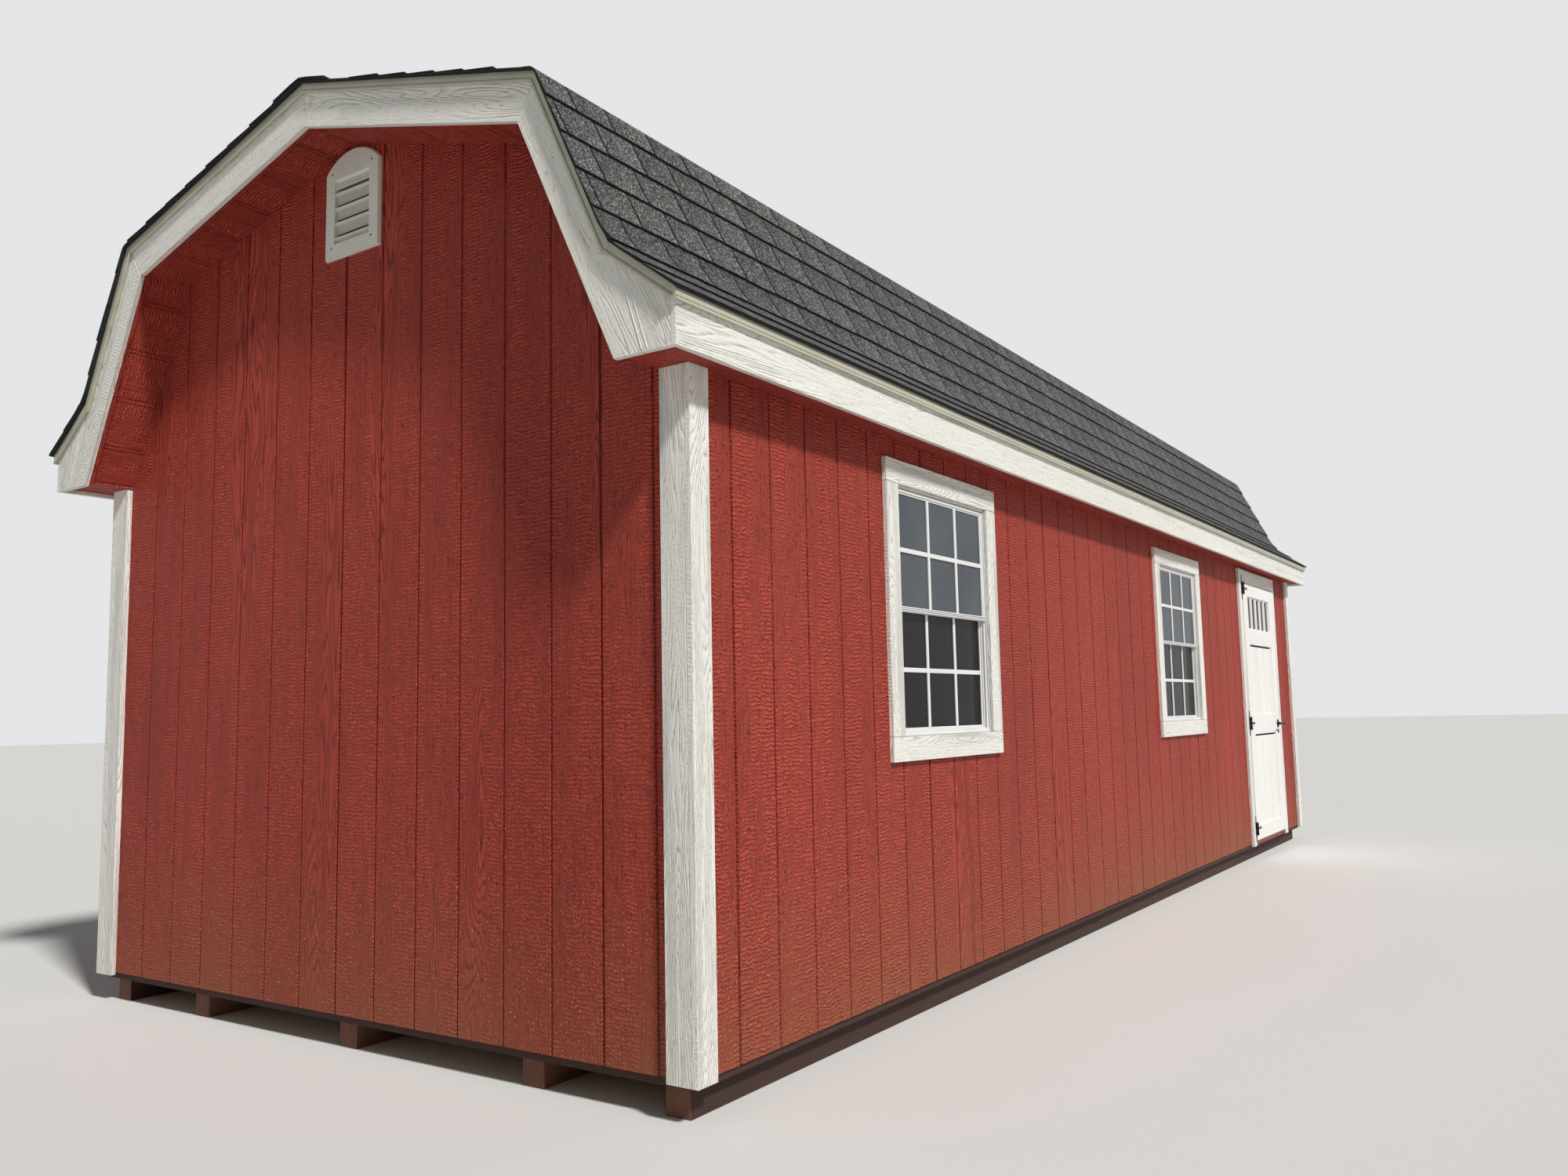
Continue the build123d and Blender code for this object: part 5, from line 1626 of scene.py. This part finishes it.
def hinge_plate(shape, z):
    """The plate on the casing, its screws, its two barrels and the pin's ends."""
    near, far = DOORWAY_NEAR - PLATE_WIDTH, DOORWAY_NEAR
    middle, edge = (near + far) / 2, far - 0.0008
    low, high = z - PLATE_HALF, z + PLATE_HALF
    tip = [(middle + half, up) for half, up in POINT]
    tip += [(middle - half, up) for half, up in POINT[-2::-1]]
    outline = [(edge, low), (edge, high), *[(y, z + up) for y, up in tip], (near, high), (near, low)]
    outline += [(y, z - up) for y, up in reversed(tip)]
    shape.prism(yz(outline, TRIM_X), (HINGE_THICK, 0, 0))
    for across, up in PLATE_SCREWS:
        spot = (TRIM_X + SCREW_LIFT, middle + across, z + up)
        shape.head(spot, (1, 0, 0), 0.0040, 0.0022, 10)
    for start in (low, high - BARREL_LONG):
        shape.lathe((*PIN, start), (0, 0, 1), BARREL)
        leaf = (PIN[0], far - 0.0002, start + 0.027)
        shape.box((TRIM_X, far - 0.009, start + 0.0005), leaf)
    for end, way in ((high, 1), (low, -1)):
        shape.lathe((*PIN, end - way * 0.001), (0, 0, way), PIN_TIP, 16)


def hinge_strap(shape, z):
    """The strap on the leaf, its screws and its barrel."""
    outline = [(LEAF_NEAR + along, z - half) for along, half in STRAP]
    outline += [(LEAF_NEAR + along, z + half) for along, half in STRAP[-2::-1]]
    shape.prism(yz(outline, LEAF_FRONT), (HINGE_THICK, 0, 0), (0, 1, 0))
    for along in (0.020, 0.048, 0.103):
        spot = (LEAF_FRONT + SCREW_LIFT, LEAF_NEAR + along, z)
        shape.head(spot, (1, 0, 0), 0.0042, 0.0022, 10)
    low = z - BARREL_LONG / 2
    leaf = (PIN[0], LEAF_NEAR + 0.009, low + BARREL_LONG)
    shape.box((LEAF_FRONT, LEAF_NEAR + 0.0002, low), leaf)
    shape.lathe((*PIN, low), (0, 0, 1), BARREL)


def hinges():
    plates, straps = Shape("hinge_plates"), Shape("hinge_straps")
    for z in HINGE_Z:
        hinge_plate(plates, z)
        hinge_strap(straps, z)
    plates.stand_in("hinge_plates", [IRON], "black_metal", bevel=0.0006, smooth=35)
    straps.stand_in("hinge_straps", [IRON], "black_metal", "service_door", bevel=0.0006, smooth=35)


# Door handle and lock, on both faces: rings as distance out and radius
LOCK_Z = 0.882
ROSE_RINGS = [(0.0, 0.0320), (0.0028, 0.0320), (0.0040, 0.0308)]
ROSE_RINGS += [(0.0052, 0.0270), (0.0066, 0.0240), (0.0080, 0.0180)]
KEY_RINGS = [(0.0, 0.0140), (0.0028, 0.0140), (0.0044, 0.0126), (0.0060, 0.0090), (0.0052, 0.0070)]
NECK_RINGS = [(0.0, 0.0105), (0.006, 0.0100), (0.012, 0.0082), (0.026, 0.0080)]
NECK_RINGS += [(0.034, 0.0098), (0.044, 0.0108), (0.047, 0.0085)]
NECK_START = 0.0085
GRIP_STEPS = 11


def grip(middle, way):
    """Places along the lever's grip, a little bowed, and its half sizes."""
    path, sizes = [], []
    for k in range(GRIP_STEPS + 1):
        t = k / GRIP_STEPS
        bow = math.sin(math.pi * t)
        z = SPINDLE_Z + 0.0035 * bow - 0.0015 * t
        path.append((middle - way * 0.003 * bow, SPINDLE_Y - 0.002 - t * 0.108, z))
        sizes.append((0.0058 - 0.0012 * t, 0.0090 - 0.0028 * math.sin(math.pi * t * 0.8)))
    sizes[-1] = (0.0030, 0.0042)
    return path, sizes


def handle():
    roses, lock, lever = Shape("roses"), Shape("lock"), Shape("lever")
    for start, way in ((LEAF_FRONT, 1), (LEAF_BACK, -1)):
        roses.lathe((start, SPINDLE_Y, SPINDLE_Z), (way, 0, 0), ROSE_RINGS, 36)
        lock.lathe((start, SPINDLE_Y, LOCK_Z), (way, 0, 0), KEY_RINGS, 28)
        low = (start + way * 0.004, SPINDLE_Y - 0.0012, LOCK_Z - 0.005)
        lock.box(low, (start + way * 0.0058, SPINDLE_Y + 0.0012, LOCK_Z + 0.005))
        base = start + way * NECK_START
        lever.lathe((base, SPINDLE_Y, SPINDLE_Z), (way, 0, 0), NECK_RINGS, 24)
        lever.bar(*grip(base + way * 0.0400, way), 14)
    spindle = [(0, 0.006), (0.049, 0.006)]
    lever.lathe((LEAF_BACK - NECK_START, SPINDLE_Y, SPINDLE_Z), (1, 0, 0), spindle, 18)
    roses.stand_in("door_roses", [IRON], "black_metal", "service_door", smooth=32)
    lock.stand_in("door_lock", [IRON], "black_metal", "service_door", smooth=32)
    lever.stand_in("door_lever", [IRON], "black_metal", "lever", smooth=40)


hinges()
handle()

# Skids and floor
SKID_X = (-1.430, -0.876, 0.0, 0.876, 1.430)
SKID_HALF, SKID_HIGH = 0.0445, 0.0885
SKID_REACH = HALF_LENGTH - 0.036
SKID_BREAK, HALF_BREAK = 0.2, 0.0005
FLOOR_BOARDS, HALF_CRACK = 56, 0.0007
RIM_LOW, RIM_HIGH = 0.0895, SIDING_BOTTOM - 0.0006
RIM_BACK, RIM_FACE = 0.0002, 0.0075


def skids():
    """Five timbers; the outer ones are in two lengths, and darker but for their ends."""
    shape = Shape("skids")
    for x in SKID_X:
        outer = x in (SKID_X[0], SKID_X[-1])
        ends = [-SKID_REACH, SKID_REACH]
        if outer:
            ends[1:1] = [SKID_BREAK - HALF_BREAK, SKID_BREAK + HALF_BREAK]
        for low, high in zip(ends[::2], ends[1::2]):
            outline = section(corners_of(x, SKID_HALF, 0.0, SKID_HIGH), 1, low)
            start = len(shape.faces)
            shape.prism(outline, (0, high - low, 0), (0, 1, 0), int(outer))
            shape.slots[start] = shape.slots[start + 1] = 0
    shape.stand_in("skids", [SKID, DARK_SKID], "skid", bevel=0.0035)


def floor_planks():
    shape = Shape("floor")
    low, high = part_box("floor_planks")
    width = (high.y - low.y) / FLOOR_BOARDS
    for k in range(FLOOR_BOARDS):
        near, far = low.y + k * width + HALF_CRACK, low.y + (k + 1) * width - HALF_CRACK
        shape.box((low.x, near, low.z), (high.x, far, high.z), (1, 0, 0))
    shape.stand_in("floor_planks", [PLANK], "timber", bevel=0.0012)
    floor_rim(high.x)


def floor_rim(half):
    """A thin board along the floor's edge, under the siding; its near-black tone is painted shade under
    the siding's bottom edge.
    """
    shape = Shape("rim")
    for side in SIDES:
        low = (side * (half + RIM_BACK), -INNER_END, RIM_LOW)
        shape.box(low, (side * (half + RIM_FACE), INNER_END, RIM_HIGH), (0, 1, 0))
    for end in ENDS:
        low = (-half, end * (INNER_END + RIM_BACK), RIM_LOW)
        shape.box(low, (half, end * (INNER_END + RIM_FACE), RIM_HIGH), (1, 0, 0))
    shape.piece("floor_rim", [DARK_SKID], "skid", bevel=0.0012)


skids()
floor_planks()

# Inner framing
for node in ("wall_studs", "gable_studs"):
    dress(node, STUD_WOOD)
for node in ("wall_plates", "wall_headers"):
    dress(node, PLATE_WOOD)
dress("rafters", RAFTER_WOOD)
dress("roof_deck", DECKING)

# Vehicle door in the far gable
DOOR_HALF = VEHICLE_HALF - SEAM
DOOR_LOW = 0.127
DOOR_Y = 3.9225
DOOR_THICK = 0.044
SECTIONS, SECTION_PANELS = 4, 4
SECTION = (VEHICLE_HIGH - DOOR_LOW) / SECTIONS
SECTION_GAP = 0.0016
PANEL_SPACE, PANEL_RISE = 0.075, 0.085
FOLDS = (0.0, 0.010, 0.024, 0.034)
FOLD_DEEP, PANEL_DEEP = 0.0075, 0.0015
STOP_X, STOP_Z = 1.190, 2.079
STOP_FOOT, STOP_HIGH = 0.118, VEHICLE_HIGH - 0.0004
SEAL_WIDE, SEAL_FOOT = 0.006, 0.132
FOOT_SEAL_X, FOOT_SEAL_HIGH = 1.204, 0.134
SILL_X, SILL_LOW, SILL_HIGH = 1.2175, 0.1136, 0.1266
# Handles: the turning one's plate, hub and bar, and the lift handles' places, path and half sizes
HANDLE_PLATE = 0.090
HUB = [(0, 0.014), (0.012, 0.013), (0.014, 0.010)]
TURN_PATH = ((-0.05, 0.015), (0, 0.017), (0.05, 0.015))
TURN_SIZES = [(0.004, 0.005), (0.006, 0.008), (0.004, 0.005)]
LIFT_X = (-0.6, 0.6)
LIFT_PATH = ((-0.002, 0.178), (0.022, 0.180), (0.022, 0.226), (-0.002, 0.228))
LIFT_SIZE = (0.012, 0.003)


def vehicle_sill():
    shape = Shape("vehicle_sill")
    low = (-SILL_X, INNER_END + 0.0004, SILL_LOW)
    shape.box(low, (SILL_X, INNER_END + 0.0158, SILL_HIGH), (1, 0, 0))
    shape.piece("vehicle_door_sill", [SILL_RED], "siding", bevel=0.0012)


def pressed_section(shape, low, high):
    """One section of the door, with panels pressed into it: a trough round a flat field."""
    step = (2 * DOOR_HALF - PANEL_SPACE) / SECTION_PANELS
    starts = [-DOOR_HALF + PANEL_SPACE + c * step for c in range(SECTION_PANELS)]
    panels = [(start, start + step - PANEL_SPACE) for start in starts]
    foot, top = low + PANEL_RISE, high - PANEL_RISE
    columns = [t for a, b in panels for fold in FOLDS for t in (a + fold, b - fold)]
    levels = [z for fold in FOLDS for z in (foot + fold, top - fold)]

    def pressed(t, z):
        inside = max(min(t - a, b - t, z - foot, top - z) for a, b in panels)
        return PANEL_DEEP if inside > 0.0305 else FOLD_DEEP if inside > 0.0045 else 0.0

    def place(t, z, depth):
        return Vector((t, DOOR_Y - depth, z))

    columns, levels = sorted([-DOOR_HALF, DOOR_HALF, *columns]), sorted([low, high, *levels])
    shape.relief(columns, levels, place, pressed, DOOR_THICK, (1, 0, 0))


def vehicle_door():
    """Four sections, with a tongue behind each joint."""
    shape = Shape("vehicle")
    for k in range(1, SECTIONS + 1):
        joint = DOOR_LOW + k * SECTION
        pressed_section(shape, joint - SECTION, joint - SECTION_GAP)
        if k < SECTIONS:
            tongue = (DOOR_HALF, DOOR_Y - 0.012, joint + 0.012)
            shape.box((-DOOR_HALF, DOOR_Y - 0.043, joint - 0.012), tongue, (1, 0, 0))
    shape.stand_in("vehicle_door", [VINYL], "window_white")


def vehicle_stops():
    """White stops round the door's face, with rubber seals inside them and under the door."""
    stops, seals = Shape("stops"), Shape("seals")
    back, face = DOOR_Y + 0.001, HALF_LENGTH + 0.002
    seal_back, seal_face, seal_x = DOOR_Y + 0.0005, DOOR_Y + 0.006, STOP_X - SEAL_WIDE
    for side in SIDES:
        low = (side * (VEHICLE_HALF - 0.0002), back, STOP_FOOT)
        stops.box(low, (side * STOP_X, face, STOP_HIGH))
        seals.box((side * STOP_X, seal_back, SEAL_FOOT), (side * seal_x, seal_face, STOP_Z))
    half = STOP_X - 0.0002
    stops.box((-half, back, STOP_HIGH), (half, face, STOP_Z), (1, 0, 0))
    seals.box((-seal_x, seal_back, STOP_Z), (seal_x, seal_face, STOP_Z - SEAL_WIDE), (1, 0, 0))
    foot = (-FOOT_SEAL_X, DOOR_Y - 0.040, DOOR_LOW)
    seals.box(foot, (FOOT_SEAL_X, DOOR_Y + 0.004, FOOT_SEAL_HIGH), (1, 0, 0))
    stops.piece("vehicle_door_stops", [DOOR_PAINT], "trim", bevel=0.0015)
    seals.piece("vehicle_door_seals", [SEAL_AND_PAINTED_SHADE], "black_metal", bevel=0.001)


def vehicle_handles():
    """A turning handle on its plate, and two lift handles near the ground."""
    shape = Shape("hardware")
    z, half = DOOR_LOW + SECTION * 1.5, HANDLE_PLATE / 2
    shape.box((-half, DOOR_Y - 0.002, z - half), (half, DOOR_Y + 0.003, z + half))
    shape.lathe((0, DOOR_Y + 0.002, z), (0, 1, 0), HUB)
    shape.bar([(x, DOOR_Y + out, z) for x, out in TURN_PATH], TURN_SIZES)
    for x in LIFT_X:
        shape.bar([(x, DOOR_Y + out, at) for out, at in LIFT_PATH], [LIFT_SIZE] * len(LIFT_PATH))
    shape.piece("vehicle_door_handles", [IRON], "black_metal", smooth=40)


def vehicle_casing():
    shape = Shape("vehicle_casing")
    half, face = VEHICLE_HALF + TRIM_WIDTH, HALF_LENGTH + TRIM_THICK
    for side in SIDES:
        low = (side * VEHICLE_HALF, HALF_LENGTH, CASING_LOW)
        shape.box(low, (side * half, face, VEHICLE_HIGH - 0.0006))
    low = (-half, HALF_LENGTH, VEHICLE_HIGH)
    shape.box(low, (half, face, VEHICLE_HIGH + TRIM_WIDTH), (1, 0, 0))
    shape.stand_in("vehicle_door_casing", [TRIM], "trim", bevel=0.0018)


vehicle_sill()
vehicle_door()
vehicle_stops()
vehicle_handles()
vehicle_casing()

# Studio: a pale floor, soft light all round and one sun; the backdrop is brighter than its light
FLOOR_HALF = 90
AMBIENT, BACKDROP = 0.16, 0.80
SUN_WAY = (-0.490, 0.170, -0.544)

floor = Look("studio_floor", roughness=0.9, specular=0.1)
floor.finish((0.72, 0.72, 0.71))
mesh = bpy.data.meshes.new("studio_floor")
spots = [(x, y, 0) for x, y in corners_of(0, FLOOR_HALF, -FLOOR_HALF, FLOOR_HALF)]
mesh.from_pydata(spots, [], [(0, 1, 2, 3)])
mesh.materials.append(floor.material)
ground = bpy.data.objects.new("studio_floor", mesh)
scene.collection.objects.link(ground)
ground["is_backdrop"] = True

world = bpy.data.worlds.new("studio")
scene.world = world
world.use_nodes = True
tree = world.node_tree
background = tree.nodes["Background"]
background.inputs["Color"].default_value = (0.97, 0.985, 1.0, 1)
rays = tree.nodes.new("ShaderNodeLightPath").outputs


def combined(operation, *values):
    """A math node of the world's."""
    made = tree.nodes.new("ShaderNodeMath")
    made.operation = operation
    for value, socket in zip(values, made.inputs):
        if isinstance(value, float):
            socket.default_value = value
        else:
            tree.links.new(value, socket)
    return made.outputs[0]


seen = combined("MAXIMUM", rays["Is Camera Ray"], rays["Is Glossy Ray"])
seen = combined("MAXIMUM", seen, rays["Is Transmission Ray"])
level = combined("MULTIPLY_ADD", seen, BACKDROP - AMBIENT, AMBIENT)
tree.links.new(level, background.inputs["Strength"])

lamp = bpy.data.lights.new("key", "SUN")
lamp.energy = 3.3
lamp.angle = math.radians(6)
lamp.color = (1.0, 0.985, 0.955)
key = bpy.data.objects.new("key", lamp)
scene.collection.objects.link(key)
key.rotation_mode = "QUATERNION"
key.rotation_quaternion = Vector(SUN_WAY).to_track_quat("-Z", "Y")

# Camera at the photograph's place; its focal length was worked out in the photo's pixels
CAMERA_PLACE = Vector((3.5931, -6.5949, 1.0914))
YAW, PITCH, ROLL = (math.radians(a) for a in (-33.709, 5.969, -1.208))
SENSOR, FOCAL_PIXELS, PHOTO_PIXELS = 36.0, 1537.13, 2000

ahead = Vector((math.sin(YAW) * math.cos(PITCH), math.cos(YAW) * math.cos(PITCH), math.sin(PITCH)))
level_right = Vector((math.cos(YAW), -math.sin(YAW), 0))
level_up = level_right.cross(ahead)
right = level_right * math.cos(ROLL) + level_up * math.sin(ROLL)
up = level_up * math.cos(ROLL) - level_right * math.sin(ROLL)
lens = bpy.data.cameras.new("camera")
lens.sensor_width = SENSOR
lens.lens = SENSOR * FOCAL_PIXELS / PHOTO_PIXELS
lens.clip_start, lens.clip_end = 0.05, 400
camera = bpy.data.objects.new("camera", lens)
scene.collection.objects.link(camera)
turned = Matrix((right, up, -ahead)).transposed()
camera.matrix_world = Matrix.Translation(CAMERA_PLACE) @ turned.to_4x4()
scene.camera = camera
scene.view_settings.view_transform = "Standard"

# The box round all shown pieces but the studio floor
low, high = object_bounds()
